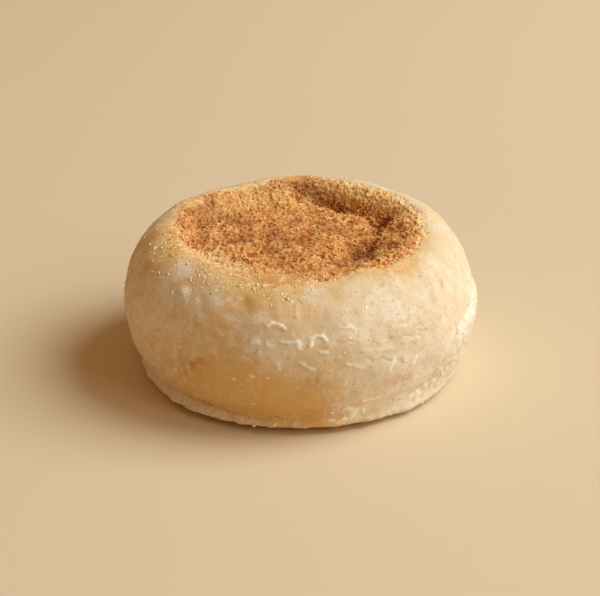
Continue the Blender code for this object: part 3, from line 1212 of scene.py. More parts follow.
@dataclass
class MuffinSkin:
    """The whole skin of the muffin: the solid's form made smooth, refined, creased and roughened."""

    name: str = "muffin_skin"
    voxel: float = 0.58 * MM
    crease_zone: float = 0.9 * MM
    base_rise: float = 0.2 * MM
    foot_lift: float = 1.5 * MM
    foot_radius: float = 38.2 * MM
    foot_width: float = 2.6 * MM
    foot_out: float = 2.4 * MM
    foot_front: Zone = Zone(266.0, 52.0, 0.7)
    stray_wisps: int = 36
    wisp_seed: int = 5
    char_depth: float = 0.5 * MM
    fold_depth: float = 0.4 * MM
    fold_swell: float = 0.25 * MM
    lip_wrinkles: float = 0.14 * MM
    line_wander: float = 1.3 * MM
    top_from: float = 20.0 * MM
    edge: ToastEdge = ToastEdge()
    seam: Seam = Seam()
    zones: Zones = Zones()
    finish: CrustFinish = CrustFinish("muffin_crust", roughness=0.78, glow=0.12)
    skin: bpy.types.Object | None = None
    form: BVHTree | None = None
    marks: dict[Mark, Array] = field(default_factory=dict)

    def build(self, groups: SharedGroups) -> bpy.types.Object:
        """Builds and dresses the skin.

        Args:
            groups: The shared patterns.

        Returns:
            The skin, standing for the solid.
        """
        guide = self.smooth_form()
        self.form = BVHTree.FromObject(guide, bpy.context.evaluated_depsgraph_get())
        self.skin = self.remeshed(guide)
        apply_modifier(self.skin, "SHRINKWRAP", target=guide)
        removed(guide)
        self.tear_and_swell()
        self.lift_foot()
        apply_modifier(self.skin, "REMESH", mode="VOXEL", voxel_size=self.voxel)
        self.refine()
        self.marks = self.all_marks()
        self.crease()
        self.roughen()
        self.settle()
        for mark, values in self.marks.items():
            store(self.skin.data, mark, values)
        self.skin.data.shade_smooth()
        kept_as_piece(self.skin, self.finish.make(groups))
        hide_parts(NODE)
        return self.skin

    def smooth_form(self) -> bpy.types.Object:
        """A copy of the solid with its loose triangles joined and its facets rounded.

        Returns:
            The smooth form.
        """
        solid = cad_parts[NODE]
        guide = alone(placed("form", solid.data.copy()))
        bpy.ops.object.mode_set(mode="EDIT")
        bpy.ops.mesh.select_all(action="SELECT")
        bpy.ops.mesh.remove_doubles(threshold=0.01 * MM)
        bpy.ops.mesh.tris_convert_to_quads()
        bpy.ops.object.mode_set(mode="OBJECT")
        apply_modifier(guide, "SUBSURF", levels=2, render_levels=2)
        return guide

    def remeshed(self, guide: bpy.types.Object) -> bpy.types.Object:
        """An even mesh of the form, with no poles.

        Args:
            guide: The smooth form.

        Returns:
            The skin, still without its fine shape.
        """
        skin = placed(self.name, guide.data.copy())
        apply_modifier(skin, "REMESH", mode="VOXEL", voxel_size=self.voxel)
        return skin

    def refine(self) -> None:
        """Halves the faces along the seam, the creases and the streaks of flour."""
        centres = centres_of(self.skin.data)
        angle = self.polar(centres)[0]
        fine = np.abs(centres[:, 2] - self.seam.fold_level(angle)) < self.crease_zone
        fine &= self.seam.strength(angle) > 0.05
        for trace in CREASES + self.wisps:
            fine |= near_path(centres, self.on_side(trace.path))[0] < self.crease_zone
        edit_faces(self.skin, fine)
        bpy.ops.mesh.subdivide(number_cuts=1)
        bpy.ops.object.mode_set(mode="OBJECT")

    @staticmethod
    def polar(points: Array) -> tuple[Array, Array]:
        """Each point's side in degrees from 0 to 360, and its distance from the Z axis."""
        angle = np.degrees(np.arctan2(points[:, 1], points[:, 0])) % 360.0
        return angle, np.hypot(points[:, 0], points[:, 1])

    def on_side(self, path: Path) -> Array:
        """The places on the form at (side in degrees, level in millimetres) places, one row each.

        Args:
            path: The places to find, by side and level.

        Returns:
            The places on the form.
        """
        found = []
        for side, level in path:
            turn = math.radians(side)
            outside = Vector((math.cos(turn), math.sin(turn), 0.0)) * 0.1
            start = outside + Vector((0.0, 0.0, level * MM))
            found.append(self.form.ray_cast(start, -outside)[0])
        return np.array(found)

    def stains(self, points: Array, traces: tuple[Trace, ...], seed: int) -> Array:
        """How strongly a set of traces stains each point, with ragged edges.

        Args:
            points: The places, one row each.
            traces: The traces.
            seed: Which noise frays their edges.

        Returns:
            A share from 0 to 1 for each point.
        """
        frayed = 1.0 + 0.9 * noise_at(points, 1.3 * MM, seed) + 0.6 * noise_at(points, 0.6 * MM, seed + 1)
        total = np.zeros(len(points))
        for trace in traces:
            gap = near_path(points, self.on_side(trace.path))[0]
            total = np.maximum(total, trace.stain * hill(gap * frayed, trace.width * MM))
        return np.clip(total, 0.0, 1.0)

    def toast_marks(self, points: Array) -> dict[Mark, Array]:
        """How rough, brown, golden and charred the toasted top is at each point, with painted light in the
        gold of the right wall and painted shade in the char of the hollows.

        Args:
            points: The places, one row each.

        Returns:
            Each mark's value at each place.
        """
        angle, radius = self.polar(points)
        top = past(points[:, 2], self.top_from, 3.0 * MM)
        fray = fray_at(points, 1)
        reach = radius + self.edge.wobble * fray
        rim = self.edge.rough_reach(angle)
        rough = top * short_of(reach, rim + self.edge.softness / 2.0, self.edge.softness)
        rough *= short_of(radius, rim + self.edge.border, 1.0 * MM)
        toast = top * self.edge.browning(angle, reach)
        # The char of the spots, partly painted shade in the hollows.
        char = np.zeros(len(points))
        for spot in CHARRED_AND_SHADED:
            gap = spot.gap(points) * (1.0 + 0.5 * fray)
            char = np.maximum(char, spot.strength * hill(gap, spot.spread * MM))
        return {
            Mark.ROUGH: rough,
            Mark.TOAST: toast,
            Mark.GOLD_AND_LIGHT: self.edge.golden_walls_and_painted_light(angle, radius) * top,
            Mark.CHAR_AND_SHADE: np.clip(char * top, 0.0, 1.0),
        }

    def all_marks(self) -> dict[Mark, Array]:
        """Every mark's value at each vertex of the skin.

        Returns:
            Each mark's value at each vertex.
        """
        points = points_of(self.skin.data)
        angle = self.polar(points)[0]
        height = points[:, 2]
        level, strength = self.seam.fold_level(angle), self.seam.strength(angle)
        under = short_of(height, level, 0.8 * MM) * strength
        # The creases and the groove of the fold are darkened as painted shade.
        lines = self.stains(points, CREASES, 11)
        groove = 0.55 * strength * hill(height - level, 0.4 * MM) * (0.7 + 0.8 * fray_at(points, 3))
        glow = self.zones.glow(points, angle, self.edge.brown_reach(angle))
        flour = self.zones.flour(points, angle, under, glow) + self.stains(points, FLOURED, 21)
        return {
            **self.toast_marks(points),
            Mark.FLOUR: np.clip(flour, 0.0, 1.2),
            Mark.TAN: self.zones.tan(points, angle, glow),
            Mark.SCORCH: self.stains(points, SCORCHES, 31),
            Mark.CREASE: np.clip(np.maximum(lines, groove), 0.0, 1.0),
            Mark.WISP: self.stains(points, self.wisps, 51),
            Mark.BASE: short_of(height, 1.6 * MM, 1.2 * MM),
            Mark.LIP: under * past(height, 0.8 * MM, 1.0 * MM),
        }

    @staticmethod
    def tapered(along: Array) -> Array:
        """A share that is 1 along most of a path and eases to 0 at its ends."""
        return past(along, 0.0, 0.12) * short_of(along, 1.0, 0.12)

    @property
    def wisps(self) -> tuple[Trace, ...]:
        """The streaks of flour: the drawn ones, and short wandering ones all round the side.

        Returns:
            All the streaks.
        """
        rng = np.random.default_rng(self.wisp_seed)
        made = []
        for count in range(self.stray_wisps):
            side, level = rng.uniform(0.0, 360.0), rng.uniform(9.0, 31.0)
            heading = rng.uniform(0.0, 360.0)
            path = [(side, level)]
            for _step in range(int(rng.integers(1, 5))):
                turn = math.radians(heading)
                side += 0.7 * math.cos(turn)
                level += 0.45 * math.sin(turn)
                heading += rng.normal(0.0, 55.0)
                path.append((side, level))
            width, strength = rng.uniform(0.3, 0.55), rng.uniform(0.3, 0.9)
            made.append(Trace(f"stray {count}", tuple(path), width, 0.12, strength))
        return WISPS + tuple(made)

    def tear_and_swell(self) -> None:
        """Tears the ledges and hollows of the top, and raises the bumps and dents of the side."""
        mesh = self.skin.data
        points, normals = points_of(mesh), normals_of(mesh)
        top = past(points[:, 2], self.top_from, 3.0 * MM)
        fray = 0.45 * MM * (noise_at(points, 1.8 * MM, 41) + 0.6 * noise_at(points, 0.8 * MM, 42))
        drop = np.zeros(len(points))
        for ledge in LEDGES:
            gap, along, left = near_path(points[:, :2], np.array(ledge.path) * MM)
            signed = gap * left + fray
            low = past(signed, 0.0, ledge.drop) * hill(np.maximum(signed, 0.0), ledge.reach)
            lip = np.where(signed <= 0.0, hill(signed, 1.0 * MM), 0.0)
            drop += (ledge.lip * lip - ledge.depth * low) * self.tapered(along)
        for spot in CHARRED_AND_SHADED:
            drop -= self.char_depth * spot.strength * hill(spot.gap(points) + fray, spot.spread * MM)
        points += normals * self.raised(points, SWELLINGS)[:, None]
        points[:, 2] += drop * top
        move_points(mesh, points)

    def raised(self, points: Array, traces: tuple[Trace, ...]) -> Array:
        """How far a set of traces raises each point.

        Args:
            points: The places, one row each.
            traces: The traces.

        Returns:
            The distance for each point, below 0 where it is pressed in.
        """
        rise = np.zeros(len(points))
        for trace in traces:
            gap = near_path(points, self.on_side(trace.path))[0]
            rise += trace.height * MM * hill(gap, trace.width * MM)
        return rise

    def crease(self) -> None:
        """Presses in the creases and the fold over the lip, raises the flour, and wrinkles the lip."""
        mesh = self.skin.data
        points, normals = points_of(mesh), normals_of(mesh)
        angle = self.polar(points)[0]
        bent = points + self.line_wander * wander_at(points, 3.2 * MM, (43, 44, 45))
        rise = self.raised(points, self.wisps)
        for trace in CREASES:
            gap, along, _left = near_path(bent, self.on_side(trace.path))
            rise += trace.height * MM * hill(gap, trace.width * MM) * self.tapered(along)
        above = bent[:, 2] - self.seam.fold_level(angle)
        fold = hill(above, 0.34 * MM) + 0.5 * hill(above + 0.5 * MM, 0.7 * MM)
        swell = hill(above - 1.0 * MM, 0.9 * MM)
        rise += (self.fold_swell * swell - self.fold_depth * fold) * self.seam.strength(angle)
        upright = points * np.array([1.0, 1.0, 0.28])
        rise += self.lip_wrinkles * self.marks[Mark.LIP] * noise_at(upright, 0.8 * MM, 46)
        points += normals * rise[:, None]
        move_points(mesh, points)

    def lift_foot(self) -> None:
        """Curls the edge of the foot up off the floor and out, raggedly, most of all at the front."""
        points = points_of(self.skin.data)
        angle, radius = self.polar(points)
        flat = points * np.array([1.0, 1.0, 0.0])
        ragged = 1.0 + 0.35 * noise_at(flat, 5.0 * MM, 47) + 0.35 * noise_at(flat, 1.4 * MM, 48)
        edge = past(radius, self.foot_radius - self.foot_width, self.foot_width)
        amount = ragged * (0.3 + self.foot_front.at(angle)) * edge
        lift = self.foot_lift * amount * hill(points[:, 2], 1.6 * MM)
        out = self.foot_out * amount * hill(points[:, 2] - 1.2 * MM, 1.8 * MM)
        points[:, :2] += points[:, :2] / np.maximum(radius, 1.0 * MM)[:, None] * out[:, None]
        points[:, 2] += lift
        move_points(self.skin.data, points)

    def roughen(self) -> None:
        """Adds the lumps of the dough, its fine pores, and the fine crumb of its base and its lip."""
        rough, base = self.marks[Mark.ROUGH], self.marks[Mark.BASE]
        fine = np.clip(0.7 * base + 0.4 * self.marks[Mark.LIP], 0.0, 1.0)
        self.displace("lumps", 8.0 * MM, 0.75 * MM, 1.0 - base, Relief.CLOUDS)
        self.displace("swellings", 3.2 * MM, 0.24 * MM, 1.0 - base, Relief.CLOUDS)
        self.displace("pores", 1.3 * MM, 0.13 * MM, 1.0 - rough, Relief.CLOUDS)
        self.displace("crumb", 1.5 * MM, 0.75 * MM, fine, Relief.CRUMB)
        self.displace("fine_crumb", 0.8 * MM, 0.35 * MM, fine, Relief.CLOUDS)

    def displace(self, name: str, size: float, depth: float, share: Array, relief: Relief) -> None:
        """Moves the skin in and out by a pattern.

        Args:
            name: What the relief is.
            size: The size of its features.
            depth: From its lowest to its highest place.
            share: How much of it each vertex gets.
            relief: The kind of pattern.
        """
        group = self.skin.vertex_groups.new(name=name)
        levels = np.round(share * WEIGHT_STEPS).astype(int)
        for level in range(1, WEIGHT_STEPS + 1):
            chosen = np.flatnonzero(levels == level).tolist()
            group.add(chosen, level / WEIGHT_STEPS, "REPLACE")
        texture = bpy.data.textures.new(name, relief.value)
        texture.noise_scale = size
        if relief is Relief.CLOUDS:
            texture.noise_depth = 2
        apply_modifier(
            self.skin,
            "DISPLACE",
            texture=texture,
            texture_coords="LOCAL",
            strength=depth,
            mid_level=0.5,
            vertex_group=name,
        )
        bpy.data.textures.remove(texture)
        self.skin.vertex_groups.remove(self.skin.vertex_groups[name])

    def settle(self) -> None:
        """Keeps the skin above the floor by the height of the grains that it stands on."""
        points = points_of(self.skin.data)
        points[:, 2] = np.maximum(points[:, 2], self.base_rise)
        move_points(self.skin.data, points)


@dataclass
class ToastedTop:
    """The rough crumb of the toasted floor: a closed crust that stands out of the skin in curled ridges."""

    name: str = "toasted_top"
    voxel: float = 0.45 * MM
    cuts: int = 1
    room: float = 1.1 * MM
    bed: float = 22.0 * MM
    sunk: float = 0.3 * MM
    depth: float = 0.85 * MM
    curl: float = 0.45 * MM
    ridge_wander: float = 1.1 * MM
    finish: CrumbFinish = CrumbFinish(
        "toasted_crumb", roughness=0.85, glow=0.3, glow_reach=0.8 * MM, gloss=0.2
    )
    crust: bpy.types.Object | None = None

    def build(self, skin: MuffinSkin, groups: SharedGroups) -> bpy.types.Object:
        """Builds and dresses the crust.

        Args:
            skin: The finished skin that it grows out of.
            groups: The shared patterns.

        Returns:
            The crust.
        """
        self.crust = self.cut_out(skin)
        self.sink_skin(skin)
        self.curl_up(skin)
        self.close_below()
        self.crust.data.shade_smooth()
        kept_as_piece(self.crust, self.finish.make(groups))
        return self.crust

    def cut_out(self, skin: MuffinSkin) -> bpy.types.Object:
        """Copies the part of the skin under the crumb, in finer faces.

        Args:
            skin: The finished skin.

        Returns:
            The crust, still flush with the skin.
        """
        crust = placed(self.name, skin.skin.data.copy())
        apply_modifier(crust, "REMESH", mode="VOXEL", voxel_size=self.voxel)
        centres = centres_of(crust.data)
        angle, radius = skin.polar(centres)
        outside = (radius > skin.edge.rough_reach(angle) + skin.edge.border) | (centres[:, 2] < self.bed)
        edit_faces(crust, outside)
        bpy.ops.mesh.delete(type="FACE")
        bpy.ops.mesh.select_all(action="SELECT")
        bpy.ops.mesh.subdivide(number_cuts=self.cuts, smoothness=0.6)
        bpy.ops.object.mode_set(mode="OBJECT")
        return crust

    def sink_skin(self, skin: MuffinSkin) -> None:
        """Sinks the skin under the crumb, so that only the crust is seen there.

        Args:
            skin: The finished skin.
        """
        mesh = skin.skin.data
        under = self.room * past(stored(mesh, Mark.ROUGH), 0.35, 0.4)
        move_points(mesh, points_of(mesh) - normals_of(mesh) * under[:, None])

    def relief(self, points: Array) -> Array:
        """How high the crumb stands at each point, from 0 in its gaps to 1 on its ridges.

        Args:
            points: The places, one row each.

        Returns:
            A height for each point.
        """
        bent = points + self.ridge_wander * wander_at(points, 2.2 * MM, (81, 82, 83))
        coarse = np.clip(1.0 - 2.7 * np.abs(noise_at(bent, 2.2 * MM, 84)), 0.0, 1.0)
        fine = np.clip(1.0 - 2.6 * np.abs(noise_at(bent, 1.0 * MM, 85)), 0.0, 1.0)
        clumps = smooth(0.5 + 1.1 * noise_at(points, 3.4 * MM, 86))
        grain = noise_at(points, 0.42 * MM, 87)
        return np.clip(0.3 * coarse + 0.46 * fine + 0.2 * clumps + 0.1 * grain, 0.0, 1.0)

    def curl_up(self, skin: MuffinSkin) -> None:
        """Raises the crumb out of the skin in leaning curls, and sinks its border under it.

        Args:
            skin: The skin that it grows out of.
        """
        mesh = self.crust.data
        points, normals = points_of(mesh), normals_of(mesh)
        marks = skin.toast_marks(points)
        rough = marks[Mark.ROUGH]
        height = self.relief(points)
        tall = self.depth * (1.0 + 0.6 * noise_at(points, 4.0 * MM, 91))
        rise = rough * tall * (height - 0.25) - (1.0 - rough) * self.sunk
        lean = wander_at(points, 0.95 * MM, (88, 89, 90)) * (self.curl * rough * height)[:, None]
        move_points(mesh, points + normals * rise[:, None] + lean)
        marks[Mark.CRUMB] = height
        for mark, values in marks.items():
            store(mesh, mark, values)

    def close_below(self) -> None:
        """Closes the crust with a wall round it and a flat bed, both inside the muffin."""
        alone(self.crust)
        bpy.ops.object.mode_set(mode="EDIT")
        bpy.ops.mesh.select_mode(type="EDGE")
        bpy.ops.mesh.select_all(action="SELECT")
        bpy.ops.mesh.region_to_loop()
        bpy.ops.mesh.extrude_edges_move(TRANSFORM_OT_translate={"value": (0.0, 0.0, -1.0 * MM)})
        bpy.ops.transform.resize(value=(0.97, 0.97, 0.0), center_override=(0.0, 0.0, self.bed))
        bpy.ops.mesh.edge_face_add()
        bpy.ops.mesh.select_all(action="SELECT")
        bpy.ops.mesh.normals_make_consistent(inside=False)
        bpy.ops.object.mode_set(mode="OBJECT")


# ---------------------------------------------------------------- what lies on the skin


@dataclass(frozen=True)
class Template:
    """One small shape, about 1 across, as the places of its corners and its triangles."""

    points: Array
    faces: Array

    @staticmethod
    def taken(item: bpy.types.Object) -> "Template":
        """Reads a modelled shape as triangles, and removes its object.

        Args:
            item: The modelled shape.

        Returns:
            The shape as a template.
        """
        apply_modifier(item, "TRIANGULATE")
        corners = np.zeros(len(item.data.polygons) * 3, int)
        item.data.loops.foreach_get("vertex_index", corners)
        made = Template(points_of(item.data), corners.reshape(-1, 3))
        removed(item)
        return made

    @staticmethod
    def chip(seed: int) -> "Template":
        """A blunt, uneven grain.

        Args:
            seed: Which unevenness it has.

        Returns:
            The shape.
        """
        bpy.ops.object.select_all(action="DESELECT")
        bpy.ops.mesh.primitive_ico_sphere_add(subdivisions=1, radius=0.5)
        bpy.ops.object.mode_set(mode="EDIT")
        bpy.ops.transform.vertex_random(offset=0.22, uniform=0.7, seed=seed)
        bpy.ops.transform.resize(value=(1.15, 0.9, 0.6))
        bpy.ops.object.mode_set(mode="OBJECT")
        return Template.taken(bpy.context.object)

    @staticmethod
    def curl(bend: float, seed: int) -> "Template":
        """A short bent crumb with pinched ends.

        Args:
            bend: How far it bends round, in degrees.
            seed: Which unevenness it has.

        Returns:
            The shape.
        """
        reach = 0.40
        bpy.ops.object.select_all(action="DESELECT")
        bpy.ops.mesh.primitive_circle_add(
            vertices=4, radius=0.17, location=(reach, 0.0, 0.0), rotation=(math.pi / 2.0, 0.0, 0.0)
        )
        bpy.ops.object.mode_set(mode="EDIT")
        bpy.ops.mesh.spin(
            steps=4, angle=math.radians(bend), center=(0.0, 0.0, 0.0), axis=(0.0, 0.0, 1.0)
        )
        bpy.ops.mesh.edge_face_add()
        bpy.ops.transform.resize(value=(0.55, 0.55, 0.55))
        bpy.ops.mesh.select_all(action="DESELECT")
        bpy.ops.mesh.select_mode(type="VERT")
        bpy.ops.mesh.select_non_manifold()
        bpy.ops.mesh.edge_face_add()
        bpy.ops.transform.resize(value=(0.55, 0.55, 0.55))
        bpy.ops.mesh.select_all(action="SELECT")
        bpy.ops.transform.vertex_random(offset=0.07, uniform=0.8, seed=seed)
        bpy.ops.mesh.normals_make_consistent(inside=False)
        bpy.ops.object.mode_set(mode="OBJECT")
        return Template.taken(bpy.context.object)

    @staticmethod
    def flake(seed: int) -> "Template":
        """A thin chip of bran.

        Args:
            seed: Which unevenness it has.

        Returns:
            The shape.
        """
        bpy.ops.object.select_all(action="DESELECT")
        bpy.ops.mesh.primitive_circle_add(vertices=6, radius=0.5, fill_type="NGON")
        bpy.ops.object.mode_set(mode="EDIT")
        bpy.ops.mesh.extrude_region_move(TRANSFORM_OT_translate={"value": (0.0, 0.0, 0.18)})
        bpy.ops.transform.resize(value=(0.7, 0.7, 1.0))
        bpy.ops.mesh.select_all(action="SELECT")
        bpy.ops.transform.vertex_random(offset=0.08, uniform=0.7, seed=seed)
        bpy.ops.transform.resize(value=(1.0, 0.5, 0.8))
        bpy.ops.mesh.normals_make_consistent(inside=False)
        bpy.ops.object.mode_set(mode="OBJECT")
        return Template.taken(bpy.context.object)


class SkinSurface:
    """A finished skin or crust as triangles, to lay things on."""

    def __init__(self, skin: bpy.types.Object) -> None:
        """Reads the skin's triangles, normals and marks.

        Args:
            skin: The finished skin or crust.
        """
        mesh = skin.data
        mesh.calc_loop_triangles()
        corners = np.zeros(len(mesh.loop_triangles) * 3, int)
        mesh.loop_triangles.foreach_get("vertices", corners)
        self.faces = corners.reshape(-1, 3)
        self.points = points_of(mesh)
        self.normals = normals_of(mesh)
        self.marks = {mark: stored(mesh, mark) for mark in Mark if mark.value in mesh.attributes}
        first, second, third = (self.points[self.faces[:, corner]] for corner in range(3))
        self.areas = np.linalg.norm(np.cross(second - first, third - first), axis=1) / 2.0

    def spread(self, weight: Array, count: int, gap: float, rng: np.random.Generator) -> dict:
        """Picks places on the skin at random, none of them closer than a gap to another.

        Args:
            weight: How thickly each vertex is covered.
            count: The most places to pick.
            gap: The least distance between two places.
            rng: The random numbers to draw from.

        Returns:
            The places, their normals and the marks there, by name.
        """
        shares = self.areas * weight[self.faces].mean(axis=1)
        draws = count * DRAWS_PER_PLACE
        picked = rng.choice(len(self.faces), size=draws, p=shares / shares.sum())
        first, second = rng.random(draws), rng.random(draws)
        fold = first + second > 1.0
        first, second = np.where(fold, 1.0 - first, first), np.where(fold, 1.0 - second, second)
        parts = np.stack([1.0 - first - second, first, second], axis=1)
        corners = self.faces[picked]
        places = (self.points[corners] * parts[:, :, None]).sum(axis=1)
        tree = KDTree(len(places))
        for index, place in enumerate(places.tolist()):
            tree.insert(place, index)
        tree.balance()
        free = np.ones(len(places), bool)
        kept: list[int] = []
        for index, place in enumerate(places.tolist()):
            if free[index] and len(kept) < count:
                kept.append(index)
                for _near, other, _gap in tree.find_range(place, gap):
                    free[other] = False
        chosen = np.array(kept)
        normals = (self.normals[corners[chosen]] * parts[chosen][:, :, None]).sum(axis=1)
        found = {"places": places[chosen]}
        found["normals"] = normals / np.linalg.norm(normals, axis=1)[:, None]
        for mark, values in self.marks.items():
            found[mark.value] = (values[corners[chosen]] * parts[chosen]).sum(axis=1)
        return found


@dataclass
class Scatter:
    """One kind of loose thing, laid over part of the skin and joined as one piece."""

    name: str
    shapes: tuple[Template, ...]
    finish: GrainFinish
    count: int
    gap: float
    smallest: float
    largest: float
    sunk: float
    tilt: float
    seed: int
    smallness: float = 1.6
    unevenness: float = 0.7

    def build(self, surface: SkinSurface, weight: Array, groups: SharedGroups) -> bpy.types.Object:
        """Lays the things and joins them.

        Args:
            surface: The skin to lay them on.
            weight: How thickly each vertex of the skin is covered.
            groups: The shared patterns.

        Returns:
            The piece.
        """
        rng = np.random.default_rng(self.seed)
        found = surface.spread(weight, self.count, self.gap, rng)
        total = len(found["places"])
        sizes = self.smallest + (self.largest - self.smallest) * rng.random(total) ** self.smallness
        frames = self.frames(found["normals"], rng)
        kinds = rng.integers(len(self.shapes), size=total)
        tint = rng.random(total)
        points, faces, owners = [], [], []
        filled = 0
        for kind, shape in enumerate(self.shapes):
            chosen = np.flatnonzero(kinds == kind)
            stretch = 1.0 + self.unevenness * (rng.random((len(chosen), 1, 3)) - 0.5)
            local = shape.points[None, :, :] * stretch * sizes[chosen][:, None, None]
            turned = np.einsum("nij,nkj->nki", frames[chosen], local)
            lift = (0.5 - self.sunk) * sizes[chosen][:, None] * found["normals"][chosen]
            settled = turned + (found["places"][chosen] + lift)[:, None, :]
            steps = filled + np.arange(len(chosen)) * len(shape.points)
            points.append(settled.reshape(-1, 3))
            faces.append((shape.faces[None, :, :] + steps[:, None, None]).reshape(-1, 3))
            owners.append(np.repeat(chosen, len(shape.points)))
            filled += len(chosen) * len(shape.points)
        places, owner = np.concatenate(points), np.concatenate(owners)
        places[:, 2] = np.maximum(places[:, 2], 0.0)
        mesh = bpy.data.meshes.new(self.name)
        mesh.from_pydata(places, [], np.concatenate(faces))
        store(mesh, Mark.TINT, tint[owner])
        for mark in (Mark.CHAR_AND_SHADE, Mark.GOLD_AND_LIGHT):
            store(mesh, mark, found[mark.value][owner])
        mesh.shade_smooth()
        piece = placed(self.name, mesh)
        kept_as_piece(piece, self.finish.make(groups))
        return piece

    def frames(self, normals: Array, rng: np.random.Generator) -> Array:
        """A turn for each thing: upright on the skin, tilted a little and spun at random.

        Args:
            normals: The skin's normal under each thing.
            rng: The random numbers to draw from.

        Returns:
            A 3 by 3 turn for each thing.
        """
        up = normals + self.tilt * rng.normal(size=normals.shape)
        up /= np.linalg.norm(up, axis=1)[:, None]
        across = np.cross(up, rng.normal(size=normals.shape))
        across /= np.linalg.norm(across, axis=1)[:, None]
        return np.stack([across, np.cross(up, across), up], axis=2)


@dataclass
class Toppings:
    """Everything loose on the skin: toasted crumbs and curls, semolina, crumbs of the rim, and bran."""

    pale_shoulder: Zone = Zone(212.0, 16.0, 1.6)
    pale_rim: Zone = Zone(224.0, 30.0, 0.88)
    pale_edge: Zone = Zone(226.0, 30.0, 0.98)
    golden_right: Zone = Zone(325.0, 50.0)

    def build(self, skin: MuffinSkin, top: ToastedTop, groups: SharedGroups) -> None:
        """Builds each kind as one piece.

        Args:
            skin: The finished skin.
            top: The finished crust of the toasted floor.
            groups: The shared patterns.
        """
        surface, crust = SkinSurface(skin.skin), SkinSurface(top.crust)
        chips = tuple(Template.chip(seed) for seed in (3, 8, 14))
        curls = (Template.curl(150.0, 2), Template.curl(95.0, 5), Template.curl(210.0, 9))
        flakes = (Template.flake(4), Template.flake(7))
        toasted = GrainFinish("loose_crumb", roughness=0.7, gloss=0.3)
        covered = crust.marks[Mark.ROUGH] * crust.marks[Mark.CRUMB] * (1.0 - 0.7 * crust.marks[Mark.CHAR_AND_SHADE])
        Scatter(
            "toasted_chips", chips, toasted, count=1100, gap=0.8 * MM,
            smallest=0.24 * MM, largest=0.46 * MM, sunk=0.45, tilt=0.5, seed=101,
        ).build(crust, covered, groups)
        Scatter(
            "toasted_curls", curls, toasted, count=500, gap=1.1 * MM,
            smallest=0.7 * MM, largest=1.1 * MM, sunk=0.5, tilt=0.7, seed=102,
        ).build(crust, covered, groups)
        self.semolina(skin, surface, crust, chips, groups)
        bran = GrainFinish(
            "bran", roughness=0.8, pale=(0.50, 0.29, 0.13), deep=(0.28, 0.14, 0.06), gold=(0.4, 0.2, 0.08)
        )
        side = (1.0 - surface.marks[Mark.ROUGH]) * (1.0 - surface.marks[Mark.BASE])
        Scatter(
            "bran", flakes, bran, count=70, gap=2.0 * MM,
            smallest=0.3 * MM, largest=0.7 * MM, sunk=0.6, tilt=0.15, seed=104,
        ).build(surface, side, groups)

    def semolina(
        self,
        skin: MuffinSkin,
        surface: SkinSurface,
        crust: SkinSurface,
        chips: tuple[Template, ...],
        groups: SharedGroups,
    ) -> None:
        """Lays the semolina of the side, the rim and the base, and the golden crumbs of the rim.

        Args:
            skin: The finished skin.
            surface: The skin's triangles.
            crust: The triangles of the toasted crust.
            chips: The grain shapes.
            groups: The shared patterns.
        """
        points = surface.points
        angle, radius = skin.polar(points)
        height = points[:, 2]
        rough, base = surface.marks[Mark.ROUGH], surface.marks[Mark.BASE]
        bare = (1.0 - rough) * (1.0 - base)
        right = self.golden_right.at(angle)
        patchy = smooth(0.5 + 2.4 * noise_at(points, 6.0 * MM, 71) + 1.2 * noise_at(points, 2.2 * MM, 72))
        shoulder = self.pale_shoulder.at(angle) * hill(height - 34.6 * MM, 3.0 * MM)
        rim = past(height, 28.0 * MM, 4.0 * MM) * window(
            radius - skin.edge.brown_reach(angle), (-4.0 * MM, -2.0 * MM), (1.0 * MM, 5.0 * MM)
        )
        rim *= 0.12 + self.pale_rim.at(angle)
        foot = short_of(height, 4.5 * MM, 4.0 * MM)
        weight = 0.13 * patchy + shoulder * patchy + 1.1 * rim * (0.3 + 0.7 * patchy) + 0.25 * foot
        weight += 0.5 * surface.marks[Mark.LIP] * patchy
        pale = GrainFinish(
            "semolina", roughness=0.5, pale=(1.0, 0.90, 0.66), deep=(1.0, 0.79, 0.50)
        )
        Scatter(
            "semolina", chips, pale, count=1900, gap=0.5 * MM,
            smallest=0.3 * MM, largest=1.2 * MM, sunk=0.68, tilt=0.3, seed=103,
        ).build(surface, weight * bare * (1.0 - 0.8 * right), groups)
        edge = crust.marks[Mark.ROUGH] * (1.0 - crust.marks[Mark.ROUGH])
        edge *= 0.02 + self.pale_edge.at(skin.polar(crust.points)[0])
        Scatter(
            "rim_semolina", chips, pale, count=420, gap=0.6 * MM,
            smallest=0.3 * MM, largest=0.8 * MM, sunk=0.6, tilt=0.4, seed=106,
        ).build(crust, edge, groups)
        golden = GrainFinish(
            "rim_crumb", roughness=0.7, gloss=0.2, pale=(1.0, 0.72, 0.36), deep=(0.82, 0.46, 0.16)
        )
        band = surface.marks[Mark.TOAST] * (1.0 - 0.9 * rough) * past(height, 26.0 * MM, 4.0 * MM)
        Scatter(
            "rim_crumbs", chips, golden, count=2400, gap=0.42 * MM,
            smallest=0.26 * MM, largest=0.7 * MM, sunk=0.62, tilt=0.4, seed=107,
        ).build(surface, band, groups)
        clusters = past(noise_at(points, 9.0 * MM, 73), 0.05, 0.12)
        Scatter(
            "golden_semolina", chips, golden, count=700, gap=0.5 * MM,
            smallest=0.26 * MM, largest=0.6 * MM, sunk=0.7, tilt=0.3, seed=108,
        ).build(surface, bare * (0.15 + right) * (0.12 + clusters), groups)
        browned = GrainFinish(
            "browned_semolina", roughness=0.6, glow=0.05, pale=(0.80, 0.52, 0.24), deep=(0.5, 0.24, 0.09)
        )
        Scatter(
            "browned_semolina", chips, browned, count=5200, gap=0.5 * MM,
            smallest=0.3 * MM, largest=0.62 * MM, sunk=0.62, tilt=0.4, seed=105,
        ).build(surface, base * (0.25 + 0.75 * patchy), groups)


# ---------------------------------------------------------------- the studio


